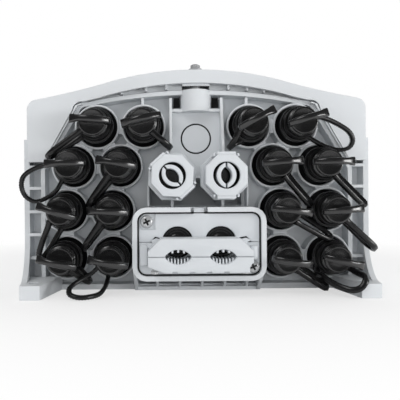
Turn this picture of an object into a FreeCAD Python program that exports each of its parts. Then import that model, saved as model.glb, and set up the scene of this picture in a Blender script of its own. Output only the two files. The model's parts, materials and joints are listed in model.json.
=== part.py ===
import FreeCAD, Part
import math
import os

V = FreeCAD.Vector

# Fibre termination box lying on its back: +X right, +Y towards the hinged end, +Z out of the wall.
# The origin is the middle of the four wall-screw holes, on the back plane. Millimetres and degrees.
# Small round pieces that repeat are drawn with flats, so that the field of sixteen ports stays light.

# Driving dimensions of the box
BASE_HALF_WIDTH = 113.5
SKIN = 3.5
BACK_PLATE = 3.6
COLLAR_Y = -140.0
PANEL_DEPTH = 11.0
PANEL_WALL = 3.0
FAR_Y = 150.0
FAR_CORNER_R = 12.0
SPLIT_Z = 99.0
LEDGE_WIDTH = 4.0
LEDGE_BOTTOM = 91.0

# Driving dimensions of the end panel's rim and the ladder ribs beside it, right half
RIM_WALL = 2.8
RIM_BACK = -117.0
RIM_KNEES = ((102.6, 0.0), (102.6, 79.0), (99.6, 84.0), (92.0, 97.0), (80.0, 118.0))
RIM_SHOULDER = (78.0, 121.6)
RIM_SPRING = (72.0, 123.6)
RIM_CREST = 131.0
LADDER_HEIGHTS = (21.0, 36.3, 51.5, 67.0, 81.0)
LADDER_THICK = 2.0

# Driving dimensions of the wall ears
EAR_HOLE_X = 101.0
EAR_HOLE_Y = 165.0
EAR_HOLE_R = 3.25
EAR_REACH_Y = 177.0
EAR_HEIGHT = 8.5
EAR_ROOT_X = 89.0
EAR_TIP_X = (95.0, 107.0)
EAR_SWEEP_TOP = 28.0
EAR_SWEEP_BEND = (-153.0, 13.5)

# Driving dimensions of the gasket
GROOVE_BOTTOM = 96.5
GROOVE_INSET = 0.6
GASKET_WIDTH = 2.4
GASKET_NEAR = -122.0
GASKET_DEPTH = 3.0

# Driving dimensions of the port field
PORT_PITCH = 30.6
ROW_HEIGHTS = (107.0, 81.0, 52.0, 21.5)
ROW_INNER_X = (34.6, 49.8, 55.0, 55.0)
RECESS_R = 13.3
COLLAR_R = 14.8
COLLAR_FLATS = 20
RECESS_FLATS = 24
WEB_WIDTH = 9.0
WEB_SPARE = 1.5
BARREL_R = 10.4
BARREL_FLATS = 12
BARREL_FRONT = -156.5
BORE_HALF = 4.8
REAR_HALF = 7.5
REAR_END = -104.0
SOCKET_DEPTH = 14.0
CLIP_HALF = 10.5
CLIP_THICK = 2.5
PLAY = 0.1

# Driving dimensions of the dust caps and their straps
HEAD_R = 9.0
HEAD_FLATS = 16
HEAD_FRONT = -165.0
HEAD_BACK = -157.0
PLUG_HALF = 4.3
PLUG_LENGTH = 10.0
PULL_BAR_HALF_LENGTH = 12.3
PULL_BAR_THICK = 3.4
PULL_BAR_DEPTH = 3.4
PULL_BAR_PROUD = 15.0
PULL_BAR_DROOP = 3.0
PULL_FIN_ROOT = 1.5
PULL_FIN_HALF_LENGTHS = (7.4, 9.0)
PULL_FIN_THICK = 2.0
STRAP_WIDTH = 3.2
STRAP_THICK = 2.0
STRAP_REAR_Y = -147.0
STRAP_BEND_R = 5.6
STRAP_CAP_GAP = 0.5
STRAP_SEAT = 1.0
STRAP_BEND_TURNS = (90, 30, -30, -90)

# Tilt of the pull bar, strap bearing and strap reach from the port axis, for ports 01 to 16
PULL_BAR_TILT = (-4, 13.5, 1, -10, -19, -3, -13, -10, 17, 28, 0, 4, 5.5, -8, -14, -9)
STRAP_BEARING = (-145, -41, -154, -127, -116, -126, -40, -100, -18, -133, -46, -50, -44, -32, -20, -36)
STRAP_REACH = (36, 20, 34, 32, 32, 30, 26, 18, 34, 21, 34, 31, 35, 31, 22, 31)

# Driving dimensions of the cover, right half of its section
COVER_HALF_WIDTH = 110.7
COVER_WALL = 3.0
COVER_FRONT = -143.5
COVER_FAR = 152.0
COVER_SKIRT_TOP = 118.0
COVER_CORNER = (108.8, 122.8)
COVER_SHOULDER = (104.0, 125.0)
COVER_SLOPE = (76.0, 131.0)
COVER_SPRING = (52.0, 137.5)
COVER_CREST = 143.9
CHEEK_BOTTOM = 84.0
SEAM_GAP = 0.3
OPENING_KNEES = ((101.0, 60.0), (100.5, 83.5), (92.8, 97.0), (81.0, 118.0))
OPENING_SHOULDER = (79.6, 121.4)
OPENING_SPRINGS = ((74.0, 123.4), (65.0, 125.4))
OPENING_CREST = 135.2
SEAL_RIB = (-121.4, -118.6)
SEAL_RIB_GAP = 2.5
FIN_PLACES = (-49.0, -33.0, -19.5, 21.5, 34.0, 45.0)
FIN_THICK = 1.8
FIN_GAP = 3.0
STAY_PLACES = (-40.0, 55.0)
STAY_THICK = 2.0
STAY_HALF_WIDTH = 48.0
STAY_BOTTOM = 132.0

# Driving dimensions of the hinge and lock
HINGE_X = 70.0
HINGE_Y = 158.0
HINGE_Z = 101.0
KNUCKLE_R = 4.6
KNUCKLE_WIDTH = 8.0
HINGE_PIN_R = 2.0
TURN_FLATS = 16
RUNNING_GAP = 0.05
SIDE_PLAY = 0.4
LOCK_Y = -135.0
LOCK_BOSS_R = 10.2
LOCK_BOSS = (116.8, 131.0)
LOCK_BOLT_R = 3.0
LOCK_BOLT_TIP = 121.0
LOCK_HEAD_TOP = 149.0
LOCK_HEAD_R = 3.15
LOCK_COLLAR_R = 4.6
LOCK_PAD_R = 6.4
LOCK_PAD_BOTTOM = 136.4
LOCK_INSERT_R = 6.0
LOCK_INSERT_WAY_R = 4.4
LOCK_CLIP = (135.0, 136.0)

# Driving dimensions of the channel under the lock
CHANNEL_HALF_WIDTH = 16.7
CHANNEL_WALL = 1.8
CHANNEL_PLATE = (-137.0, -134.0)
CHANNEL_BOTTOM = 64.0
KNOCK_OUT_Z = 99.3
KNOCK_OUT_R = 10.2
KNOCK_OUT_LINE = 1.0
KNOCK_OUT_DEPTH = 1.4

# Driving dimensions of the glands
GLAND_X = 16.2
GLAND_Z = 73.3
NUT_FRONT = -174.0
NUT_REAR = -156.0
NUT_FLATS = 26.5
NUT_FLANGE_FLATS = 29.0
NUT_FLANGE_THICK = 4.0
NUT_WALL = 3.0
NUT_HOLE_R = 7.8
SPIGOT_R = 11.0
SPIGOT_FLATS = 24
SPIGOT_WALL = 2.0
SPIGOT_FRONT = -157.0
SPIGOT_END = -109.0
TAB_WIDTH = 10.0
TAB_PROUD = 1.7
TAB_INSET = 0.6
COLLET_LENS = (5.9, 7.7)
COLLET_HOLE = (3.4, 5.4)
NUT_HOLE_FLATS = 16
SEAL_FLATS = 16
COLLET_BACK = -160.0
COLLET_RING = 2.5
COLLET_SLIT = 1.0
SEAL_BACK = -148.0
WELL = (34.0, 52.0, 75.0, -106.0)
WELL_WALL = 3.0
NUT_TURN = {"left": 42.0, "right": 0.0}

# Driving dimensions of the cable entry
FRAME_HALF_WIDTH = 40.8
FRAME_BOTTOM = 9.3
FRAME_TOP = 54.2
FRAME_CORNER_R = 8.5
CORNER_TURNS = (0.0, 22.5, 45.0, 67.5, 90.0)
FRAME_WALL = 3.0
FRAME_FRONT = -168.0
FRAME_NOTCH_HALF = 5.2
FRAME_NOTCH_END = -160.0
FOOT_FRONT = -144.0
FOOT_THICK = 2.4
FOOT_RIBS = (-26.0, -11.5, 3.0, 17.5, 32.0)
FOOT_RIB_THICK = 1.6
FOOT_RIB_FRONT = (-143.0, -153.0)
GUSSET_TOP = 18.0
GUSSET_THICK = 2.2
ENTRY_WAY = (28.0, 20.0, 45.0)
ENTRY_SPLIT_Z = 32.8
ENTRY_HOLE_X = 13.2
ENTRY_HOLE_R = 9.6
ENTRY_FLATS = 24
PLATE_FRONT = -165.5
PLATE_THICK = 4.0
PLATE_TONGUE_HALF = 3.4
GASKET_THICK = 0.9
GASKET_FRONT = -166.8
SEAL_END = -136.0
PLUG_INTO_PLATE = 2.0
ENTRY_SCREWS = ((-32.0, 45.4), (32.8, 17.8))
SCREW_HEAD_R = 3.6
SCREW_HEAD_THICK = 2.4
SCREW_R = 1.6
SCREW_FLATS = 12

# Driving dimensions of the cable clamp
CLAMP_FRONT = -181.0
CLAMP_HALF_WIDTH = 31.0
CLAMP_TOP = 36.2
CLAMP_TOP_HALF = 23.0
CLAMP_SHOULDER = 29.0
CLAMP_SPLIT = 25.3
CLAMP_KNEE = 19.4
CLAMP_BOTTOM = 15.6
CLAMP_BOTTOM_HALF = 21.0
CLAMP_NOTCHES = (-15.0, -5.0, 5.0, 15.0)
CLAMP_NOTCH = (3.0, 0.8)
LENS_HALF_WIDTH = 7.8
LENS_HALF_HEIGHT = 4.0
LENS_STEPS = 6
TOOTH_PITCH = 3.4
TOOTH_HALF = 0.7
TOOTH_TIP = 2.5
TOOTH_DROP = 0.7
BOLT_X = 27.0
BOLT_Y = -173.0
BOLT_TOP = 30.0
BOLT_HEAD = (2.7, 14.6, 16.4)

# Driving dimensions of the trays and what stands inside
POST_X = 60.0
POST_Y = (-40.0, 84.0)
POST_HALF = 5.0
BRACKET_Z = 20.0
BRACKET_HALF_WIDTH = 68.0
BRACKET_Y = (-49.6, 93.6)
BRACKET_THICK = 1.6
LIP_HALF_WIDTH = 50.0
LIP_TOP = 28.0
BRACKET_SCREW_R = 4.0
BRACKET_SCREW_THICK = 2.4
TRAY_HALF_WIDTH = 54.0
TRAY_Y = (-50.0, 94.0)
TRAY_CORNER = 14.0
TRAY_WALL = 2.0
TRAY_HEIGHT = 11.0
SPOOL_X = 26.0
SPOOL_Y = 52.0
SPOOL_R = 18.0
SPOOL_FLATS = 16
SPOOL_HEIGHT = 9.0
COMB_TEETH = 7
COMB_PITCH = 8.0
COMB_THICK = 1.6
COMB_Y = (-36.0, 4.0)
COMB_HEIGHT = 8.0
LID_THICK = 1.5
SPLITTER = ((76.0, 96.0), (-40.0, 60.0), 16.0)
STRENGTH_CLAMP_HALF = 8.0
STRENGTH_CLAMP_Y = (-98.0, -84.0)
STRENGTH_CLAMP_TOP = 26.0
STRENGTH_SLOT = (3.0, 16.0)

# Places worked out from the driving dimensions
PANEL_FRONT = COLLAR_Y + PANEL_DEPTH
PANEL_BACK = PANEL_FRONT + PANEL_WALL
INNER_X = BASE_HALF_WIDTH - SKIN
INNER_FAR = FAR_Y - SKIN
PLATE_BACK = PLATE_FRONT + PLATE_THICK
STRAP_MIDDLE_Y = STRAP_REAR_Y - STRAP_BEND_R
COVER_INNER_FRONT = COLLAR_Y - SEAM_GAP
COVER_LOW = SPLIT_Z + SEAM_GAP
FAR_AWAY = 200.0
OVERCUT = 1.0


def box(x0, x1, y0, y1, z0, z1):
    """A block between two corners."""
    return Part.makeBox(x1 - x0, y1 - y0, z1 - z0, V(x0, y0, z0))


def rod_z(x, y, radius, z0, z1):
    """A cylinder along Z."""
    return Part.makeCylinder(radius, z1 - z0, V(x, y, z0), V(0, 0, 1))


def outline(steps, place):
    """A closed face from steps: (a, b) is a straight run to a point, (am, bm, a, b) an arc through am, bm."""
    start = steps[0]
    here = start
    edges = []
    for step in list(steps[1:]) + [start]:
        end = step[-2:]
        if len(step) == 4:
            edges.append(Part.Arc(place(*here), place(*step[:2]), place(*end)).toShape())
        elif math.dist(here, end) > 1e-6:
            edges.append(Part.makeLine(place(*here), place(*end)))
        here = end
    return Part.Face(Part.Wire(edges))


def flat(steps, y):
    """An outline in X, Z as a face across Y."""
    return outline(steps, lambda x, z: V(x, y, z))


def prism_x(steps, x0, x1):
    """An outline in Y, Z drawn out along X."""
    return outline(steps, lambda y, z: V(x0, y, z)).extrude(V(x1 - x0, 0, 0))


def prism_y(steps, y0, y1):
    """An outline in X, Z drawn out along Y."""
    return flat(steps, y0).extrude(V(0, y1 - y0, 0))


def prism_z(steps, z0, z1):
    """An outline in X, Y drawn out along Z."""
    return outline(steps, lambda x, y: V(x, y, z0)).extrude(V(0, 0, z1 - z0))


def symmetric(right, crest):
    """Steps of an outline alike on both sides: its right half from the bottom up, then over the crest."""
    ends = [step[-2:] for step in right]
    steps = list(right) + [(0.0, crest, -ends[-1][0], ends[-1][1])]
    for step, (x, z) in zip(reversed(right), reversed(ends[:-1])):
        through = (-step[0], step[1]) if len(step) == 4 else ()
        steps.append(through + (-x, z))
    return steps


def sided(radius, sides, x=0.0, z=0.0):
    """Corners of a regular shape with a flat on top, its corners on a circle about x, z."""
    turns = [math.pi * (2 * step + 1) / sides for step in range(sides)]
    return [(x + radius * math.cos(turn), z + radius * math.sin(turn)) for turn in turns]


def around(radius, sides, x=0.0, z=0.0):
    """Corners of a regular shape whose flats lie on a circle about x, z."""
    return sided(radius / math.cos(math.pi / sides), sides, x, z)


def oblong(x0, x1, z0, z1):
    """Steps of a plain rectangle."""
    return [(x0, z0), (x1, z0), (x1, z1), (x0, z1)]


def rounded(half_width, low, high, radius):
    """Corners of a rectangle in X, Z centred on X = 0, each of its corners rounded by short flats."""
    steps = []
    for side, level, first in ((1, low, -90.0), (1, high, 0.0), (-1, high, 90.0), (-1, low, 180.0)):
        middle_x = side * (half_width - radius)
        middle_z = level + radius if level == low else level - radius
        for turn in CORNER_TURNS:
            angle = math.radians(first + turn)
            steps.append((middle_x + radius * math.cos(angle), middle_z + radius * math.sin(angle)))
    return steps


def plan(half_width, near_y, far_y, radius):
    """Steps of the box in X, Y: square at the port end, round corners at the hinged end."""
    knee = radius * (1 - math.sqrt(0.5))
    return [
        (-half_width, near_y), (half_width, near_y), (half_width, far_y - radius),
        (half_width - knee, far_y - knee, half_width - radius, far_y), (radius - half_width, far_y),
        (knee - half_width, far_y - knee, -half_width, far_y - radius),
    ]


def bevelled_plan(half_width, near_y, far_y, bevel):
    """Steps of a plan in X, Y with its two far corners cut off."""
    return [
        (-half_width, near_y), (half_width, near_y), (half_width, far_y - bevel),
        (half_width - bevel, far_y), (bevel - half_width, far_y), (-half_width, far_y - bevel),
    ]


def whole(shape):
    """The single solid of a shape, with faces that lie in one surface joined."""
    tidy = shape.removeSplitter()
    return tidy.Solids[0] if len(tidy.Solids) == 1 else tidy


def fuse(pieces):
    """One solid from pieces that meet."""
    return whole(pieces[0].multiFuse(pieces[1:]))


def joined(faces):
    """One flat face from faces in one plane."""
    return faces[0].multiFuse(faces[1:]).removeSplitter()


def cut(shape, tools):
    """A shape with every tool taken away, one after another."""
    for tool in tools:
        shape = shape.cut(tool)
    return whole(shape)


def mirrored(shape):
    """The shape on the other side of the middle plane."""
    return shape.mirror(V(0, 0, 0), V(1, 0, 0))


def both(shape):
    """A shape and its mirror image."""
    return [shape, mirrored(shape)]


def turned(shape, x, z, degrees):
    """A shape made about the Y axis, turned as seen from the port end and set on an axis at x, z."""
    copy = shape.copy()
    copy.rotate(V(0, 0, 0), V(0, -1, 0), degrees)
    copy.translate(V(x, 0, z))
    return copy


def port_axes():
    """X and Z of ports 01 to 16: left block then right block, top row first, outer port first."""
    axes = []
    for side in (-1, 1):
        for inner_x, height in zip(ROW_INNER_X, ROW_HEIGHTS):
            axes.append((side * (inner_x + PORT_PITCH), height))
            axes.append((side * inner_x, height))
    return axes


PORTS = port_axes()


def at_ports(shape):
    """A group with a copy of a shape, made about the Y axis, on each port's axis."""
    return Part.makeCompound([turned(shape, x, z, 0) for x, z in PORTS])


def arch(grow):
    """Steps of the end panel's rim, grown outwards: slanted sides under a low arch."""
    right = [(x + grow, z) for x, z in RIM_KNEES[:-1]]
    right.append((RIM_KNEES[-1][0] + grow, RIM_KNEES[-1][1] + grow / 2))
    corner = (RIM_SHOULDER[0] + grow * 0.8, RIM_SHOULDER[1] + grow * 0.8)
    right.append(corner + (RIM_SPRING[0], RIM_SPRING[1] + grow))
    return symmetric(right, RIM_CREST + grow)


# Base housing

def shell_walls():
    """Back plate, side skins and far wall, with a thick top ledge that carries the gasket."""
    outer = prism_z(plan(BASE_HALF_WIDTH, COLLAR_Y, FAR_Y, FAR_CORNER_R), 0, SPLIT_Z)
    bevel = FAR_CORNER_R - SKIN
    hollow = prism_z(bevelled_plan(INNER_X, COLLAR_Y, INNER_FAR, bevel), BACK_PLATE, SPLIT_Z)
    around = prism_z(bevelled_plan(INNER_X, PANEL_BACK, INNER_FAR, bevel), LEDGE_BOTTOM, SPLIT_Z)
    inside = prism_z(bevelled_plan(INNER_X - LEDGE_WIDTH, PANEL_BACK, INNER_FAR - LEDGE_WIDTH, bevel - SKIN),
                     LEDGE_BOTTOM, SPLIT_Z)
    return [outer.cut(hollow), around.cut(inside)]


def near_pairs():
    """Pairs of neighbouring ports in one block, whose collars a web joins."""
    pairs = []
    for first, second in ((a, b) for a in PORTS for b in PORTS if a < b):
        if first[0] * second[0] > 0 and math.dist(first, second) < PORT_PITCH + WEB_SPARE:
            pairs.append((first, second))
    return pairs


def web(first, second):
    """The flat bridge between two neighbouring collars."""
    length = math.dist(first, second)
    strip = flat(oblong(-length / 2, length / 2, -WEB_WIDTH / 2, WEB_WIDTH / 2), COLLAR_Y)
    bearing = math.degrees(math.atan2(second[1] - first[1], second[0] - first[0]))
    return turned(strip, (first[0] + second[0]) / 2, (first[1] + second[1]) / 2, bearing)


def panel_relief():
    """Face of what stands proud of the panel: rim, collars with their recesses, webs, ribs and bar."""
    faces = [flat(arch(0), COLLAR_Y).cut(flat(arch(-RIM_WALL), COLLAR_Y))]
    faces += [flat(sided(COLLAR_R, COLLAR_FLATS, x, z), COLLAR_Y) for x, z in PORTS]
    faces += [web(first, second) for first, second in near_pairs()]
    for z in LADDER_HEIGHTS:
        low = z - LADDER_THICK / 2
        rib = oblong(RIM_KNEES[0][0] - RIM_WALL / 2, INNER_X + SKIN / 2, low, low + LADDER_THICK)
        faces += both(flat(rib, COLLAR_Y))
    bar = oblong(-CHANNEL_HALF_WIDTH, CHANNEL_HALF_WIDTH, LOCK_BOSS[0], LOCK_BOSS[0] + LADDER_THICK)
    faces.append(flat(bar, COLLAR_Y))
    recesses = [flat(around(RECESS_R, RECESS_FLATS, x, z), COLLAR_Y) for x, z in PORTS]
    return joined(faces).cut(Part.makeCompound(recesses))


def end_panel():
    """Ported panel with its relief in front and the arched rim behind."""
    relief = panel_relief().extrude(V(0, PANEL_DEPTH, 0))
    sheet = joined([flat(arch(0), PANEL_FRONT), flat(oblong(-INNER_X, INNER_X, 0, SPLIT_Z), PANEL_FRONT)])
    half = REAR_HALF + PLAY
    ways = [flat(oblong(x - half, x + half, z - half, z + half), PANEL_FRONT) for x, z in PORTS]
    plate = sheet.cut(Part.makeCompound(ways)).extrude(V(0, PANEL_WALL, 0))
    rim = prism_y(arch(0), PANEL_BACK, RIM_BACK).cut(prism_y(arch(-RIM_WALL), PANEL_BACK, RIM_BACK))
    seat = box(RIM_KNEES[3][0] - OVERCUT, INNER_X + OVERCUT, PANEL_BACK, RIM_BACK, SPLIT_Z - 7, GROOVE_BOTTOM)
    return [relief, plate, rim] + both(seat)


def middle_channel():
    """Lock boss, the channel walls and the knock-out plate under the arch."""
    boss = prism_z(sided(LOCK_BOSS_R, RECESS_FLATS, 0, LOCK_Y), *LOCK_BOSS)
    wall_top = LOCK_BOSS[1] - 5
    inner = CHANNEL_HALF_WIDTH - CHANNEL_WALL / 2
    back = PANEL_FRONT + OVERCUT
    wall = prism_x([(back, CHANNEL_BOTTOM), (NUT_REAR, CHANNEL_BOTTOM), (NUT_REAR + 3, NUT_FLATS + 59.5),
                    (COLLAR_Y, wall_top), (back, wall_top)], inner, inner + CHANNEL_WALL)
    plate = box(-CHANNEL_HALF_WIDTH, CHANNEL_HALF_WIDTH, *CHANNEL_PLATE, GLAND_Z, LOCK_BOSS[0] + OVERCUT)
    line_end = CHANNEL_PLATE[0] + KNOCK_OUT_DEPTH
    line, core = [prism_y(sided(radius, RECESS_FLATS, 0, KNOCK_OUT_Z), CHANNEL_PLATE[0] - OVERCUT, line_end)
                  for radius in (KNOCK_OUT_R, KNOCK_OUT_R - KNOCK_OUT_LINE)]
    return [boss] + both(wall) + [plate.cut(line.cut(core))]


def gland_well():
    """Deep pocket between glands and entry frame: its walls, and the tool that opens it."""
    half, low, high, back = WELL
    walls = box(-half, half, PANEL_FRONT, back, low, high)
    inner = half - WELL_WALL
    pocket = box(-inner, inner, FRAME_FRONT, back - WELL_WALL, low + WELL_WALL, high - WELL_WALL)
    return walls, pocket


def gland_spigots():
    """Two spigots that the nuts turn on, and the webs that tie them to the frame."""
    rods = [prism_y(sided(SPIGOT_R, SPIGOT_FLATS, x, GLAND_Z), SPIGOT_FRONT, SPIGOT_END)
            for x in (-GLAND_X, GLAND_X)]
    tie = box(GLAND_X - CHANNEL_WALL / 2, GLAND_X + CHANNEL_WALL / 2, SPIGOT_FRONT + 7, SPIGOT_END + OVERCUT,
              FRAME_TOP - OVERCUT, CHANNEL_BOTTOM)
    return rods + both(tie)


def spigot_bore(x, y0, y1):
    """The room in a spigot that its seal fills."""
    return prism_y(sided(SPIGOT_R - SPIGOT_WALL, SEAL_FLATS, x, GLAND_Z), y0, y1)


def entry_frame():
    """Rounded frame of the cable entry with its foot plate, ribs and gussets."""
    outline_steps = rounded(FRAME_HALF_WIDTH, FRAME_BOTTOM, FRAME_TOP, FRAME_CORNER_R)
    outer = prism_y(outline_steps, FRAME_FRONT, PANEL_FRONT)
    foot = box(-FRAME_HALF_WIDTH, FRAME_HALF_WIDTH, FOOT_FRONT, COLLAR_Y + OVERCUT, 0, FOOT_THICK)
    half = FOOT_RIB_THICK / 2
    low, high = FOOT_RIB_FRONT
    top = FRAME_BOTTOM + OVERCUT
    profile = [(PANEL_FRONT, OVERCUT), (low, OVERCUT), (high, top), (PANEL_FRONT, top)]
    ribs = [prism_x(profile, x - half, x + half) for x in FOOT_RIBS]
    gusset = prism_x([(COLLAR_Y, 0), (FOOT_FRONT, 0), (FRAME_FRONT + 2, GUSSET_TOP), (COLLAR_Y, GUSSET_TOP)],
                     FRAME_HALF_WIDTH - GUSSET_THICK, FRAME_HALF_WIDTH)
    return [outer, foot] + ribs + both(gusset)


def entry_room(inset, y0, y1):
    """The room inside the entry frame, made smaller all round by inset."""
    wall = FRAME_WALL + inset
    half = FRAME_HALF_WIDTH - wall
    return prism_y(rounded(half, FRAME_BOTTOM + wall, FRAME_TOP - wall, FRAME_CORNER_R - wall), y0, y1)


def top_notch(y0, y1):
    """The gap in the middle of the frame's top wall."""
    return box(-FRAME_NOTCH_HALF, FRAME_NOTCH_HALF, y0, y1, FRAME_TOP - 2 * FRAME_WALL, FRAME_TOP + OVERCUT)


def entry_cuts():
    """Inside of the entry frame, the way through the panel and the notch in its top wall."""
    half, low, high = ENTRY_WAY
    way = box(-half, half, PANEL_FRONT - OVERCUT, PANEL_BACK + OVERCUT, low, high)
    front = FRAME_FRONT - OVERCUT
    return [entry_room(0, front, PANEL_FRONT), way, top_notch(front, FRAME_NOTCH_END)]


def ear():
    """Wall ear at the right of the port end, with the swept gusset of the side skin."""
    tip_in, tip_out = EAR_TIP_X
    root_y = COLLAR_Y + 2
    block = prism_z([(EAR_ROOT_X, root_y), (tip_in, -EAR_REACH_Y), (tip_out, -EAR_REACH_Y),
                     (BASE_HALF_WIDTH, root_y)], 0, EAR_HEIGHT)
    strip = prism_z([(BASE_HALF_WIDTH, COLLAR_Y), (INNER_X, COLLAR_Y),
                     (tip_out - SKIN, -EAR_REACH_Y), (tip_out, -EAR_REACH_Y)], 0, EAR_SWEEP_TOP + OVERCUT)
    sweep = prism_x([(COLLAR_Y, 0), (COLLAR_Y, EAR_SWEEP_TOP), EAR_SWEEP_BEND + (-EAR_REACH_Y, EAR_HEIGHT),
                     (-EAR_REACH_Y, 0)], EAR_ROOT_X, BASE_HALF_WIDTH + OVERCUT)
    return fuse([block, strip.common(sweep)])


def gasket_loop(z0, z1):
    """Band of the gasket along the sides and the far wall, open where the arched rim takes over."""
    side = INNER_X - GROOVE_INSET
    far = INNER_FAR - GROOVE_INSET
    bevel = FAR_CORNER_R - SKIN
    outer = prism_z(bevelled_plan(side, GASKET_NEAR, far, bevel), z0, z1)
    inner = prism_z(bevelled_plan(side - GASKET_WIDTH, GASKET_NEAR + GASKET_DEPTH, far - GASKET_WIDTH,
                                  bevel - OVERCUT), z0, z1)
    return outer.cut(inner)


def gasket_groove():
    """Groove along the top of the sides and the far wall."""
    half = RIM_KNEES[3][0] - OVERCUT
    rim_way = box(-half, half, GASKET_NEAR - OVERCUT, RIM_BACK, GROOVE_BOTTOM - OVERCUT, SPLIT_Z + OVERCUT)
    return gasket_loop(GROOVE_BOTTOM, SPLIT_Z + OVERCUT).cut(rim_way)


def tray_posts():
    """Four square posts that carry the tray bracket."""
    return [box(x - POST_HALF, x + POST_HALF, y - POST_HALF, y + POST_HALF, BACK_PLATE - OVERCUT, BRACKET_Z)
            for x in (-POST_X, POST_X) for y in POST_Y]


def ear_holes():
    """The four wall-screw holes."""
    return [rod_z(x, y, EAR_HOLE_R, -OVERCUT, EAR_SWEEP_TOP)
            for x in (-EAR_HOLE_X, EAR_HOLE_X) for y in (-EAR_HOLE_Y, EAR_HOLE_Y)]


def base_housing():
    """The whole lower moulding."""
    well, pocket = gland_well()
    near_ears = both(ear())
    ears = near_ears + [one.mirror(V(0, 0, 0), V(0, 1, 0)) for one in near_ears]
    pieces = shell_walls() + end_panel() + middle_channel() + [well] + ears
    body = pieces[0].multiFuse(pieces[1:]).cut(pocket)
    body = body.multiFuse(gland_spigots() + entry_frame() + base_knuckles() + tray_posts())
    tools = entry_cuts() + ear_holes() + [gasket_groove(), insert_block(OVERCUT)]
    tools += [spigot_bore(x, SPIGOT_FRONT - OVERCUT, SPIGOT_END - 2) for x in (-GLAND_X, GLAND_X)]
    for tool in tools:
        body = body.cut(tool)
    return whole(body)


# Hinge

def knuckle(arm, bore, x0, x1):
    """An eight-sided hinge eye on an arm, with the bore's corners given about the hinge line."""
    eye = prism_x(sided(KNUCKLE_R, 8, HINGE_Y, HINGE_Z), x0, x1)
    return fuse([prism_x(arm, x0, x1), eye]).cut(prism_x(bore, x0 - OVERCUT, x1 + OVERCUT))


def pin_section():
    """Corners of a hinge pin's section."""
    return sided(HINGE_PIN_R, TURN_FLATS, HINGE_Y, HINGE_Z)


def base_knuckles():
    """Two pairs of knuckles behind the far wall."""
    arm = [(FAR_Y - OVERCUT, HINGE_Z - 15), (HINGE_Y + 3.2, HINGE_Z - 3.2), (HINGE_Y, HINGE_Z),
           (HINGE_Y - 3.2, HINGE_Z - 3.2), (FAR_Y - OVERCUT, HINGE_Z - 4)]
    pieces = []
    for middle in (-HINGE_X, HINGE_X):
        for x in (middle - 2 * KNUCKLE_WIDTH, middle + KNUCKLE_WIDTH):
            pieces.append(knuckle(arm, pin_section(), x, x + KNUCKLE_WIDTH))
    return pieces


def cover_knuckles():
    """Two knuckles of the cover, each between a pair of the base's."""
    arm = [(COVER_FAR - OVERCUT, HINGE_Z + 2), (HINGE_Y, HINGE_Z - 1), (HINGE_Y + 2.4, HINGE_Z + 3.4),
           (COVER_FAR - OVERCUT, HINGE_Z + 13)]
    half = KNUCKLE_WIDTH - SIDE_PLAY
    bore = around(HINGE_PIN_R + RUNNING_GAP, TURN_FLATS, HINGE_Y, HINGE_Z)
    return [knuckle(arm, bore, middle - half, middle + half) for middle in (-HINGE_X, HINGE_X)]


def hinge_pins():
    """Two straight hinge pins."""
    half = 2 * KNUCKLE_WIDTH
    return Part.makeCompound([prism_x(pin_section(), middle - half, middle + half)
                              for middle in (-HINGE_X, HINGE_X)])


# Cover

def cover_section(shrink, bottom):
    """Steps of the cover's section: crest arc, sloping shoulders, round corners and straight skirts."""
    side = COVER_HALF_WIDTH - shrink
    corner = (COVER_CORNER[0] - shrink, COVER_CORNER[1] - shrink * 0.8)
    shoulder = (COVER_SHOULDER[0] - shrink * 0.4, COVER_SHOULDER[1] - shrink)
    slope = (COVER_SLOPE[0] - shrink * 0.2, COVER_SLOPE[1] - shrink)
    right = [(side, bottom), (side, COVER_SKIRT_TOP - shrink * 0.7), corner + shoulder,
             slope + (COVER_SPRING[0], COVER_SPRING[1] - shrink)]
    return symmetric(right, COVER_CREST - shrink)


def cover_opening():
    """The opening of the cover's port end, round the rim of the base."""
    right = list(OPENING_KNEES) + [OPENING_SHOULDER + OPENING_SPRINGS[0], OPENING_SPRINGS[1]]
    return prism_y(symmetric(right, OPENING_CREST), COVER_FRONT - OVERCUT, COVER_INNER_FRONT)


def cover_shell():
    """Arched skin, open below, with its end band and the cheeks beside the port field."""
    footprint = prism_z(plan(COVER_HALF_WIDTH, COVER_FRONT, COVER_FAR, FAR_CORNER_R), 0, FAR_AWAY)
    room = prism_z(bevelled_plan(COVER_HALF_WIDTH - COVER_WALL, COVER_INNER_FRONT, COVER_FAR - COVER_WALL,
                                 FAR_CORNER_R - COVER_WALL), 0, FAR_AWAY)
    skin = prism_y(cover_section(0, COVER_LOW), COVER_FRONT, COVER_FAR).common(footprint)
    inside = cover_section(COVER_WALL, COVER_LOW - OVERCUT)
    hollow = prism_y(inside, COVER_INNER_FRONT, COVER_FAR).common(room)
    cheeks = prism_y(cover_section(0, CHEEK_BOTTOM), COVER_FRONT, COVER_INNER_FRONT - SEAM_GAP)
    return fuse([skin.cut(hollow), cheeks]).cut(cover_opening())


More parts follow.
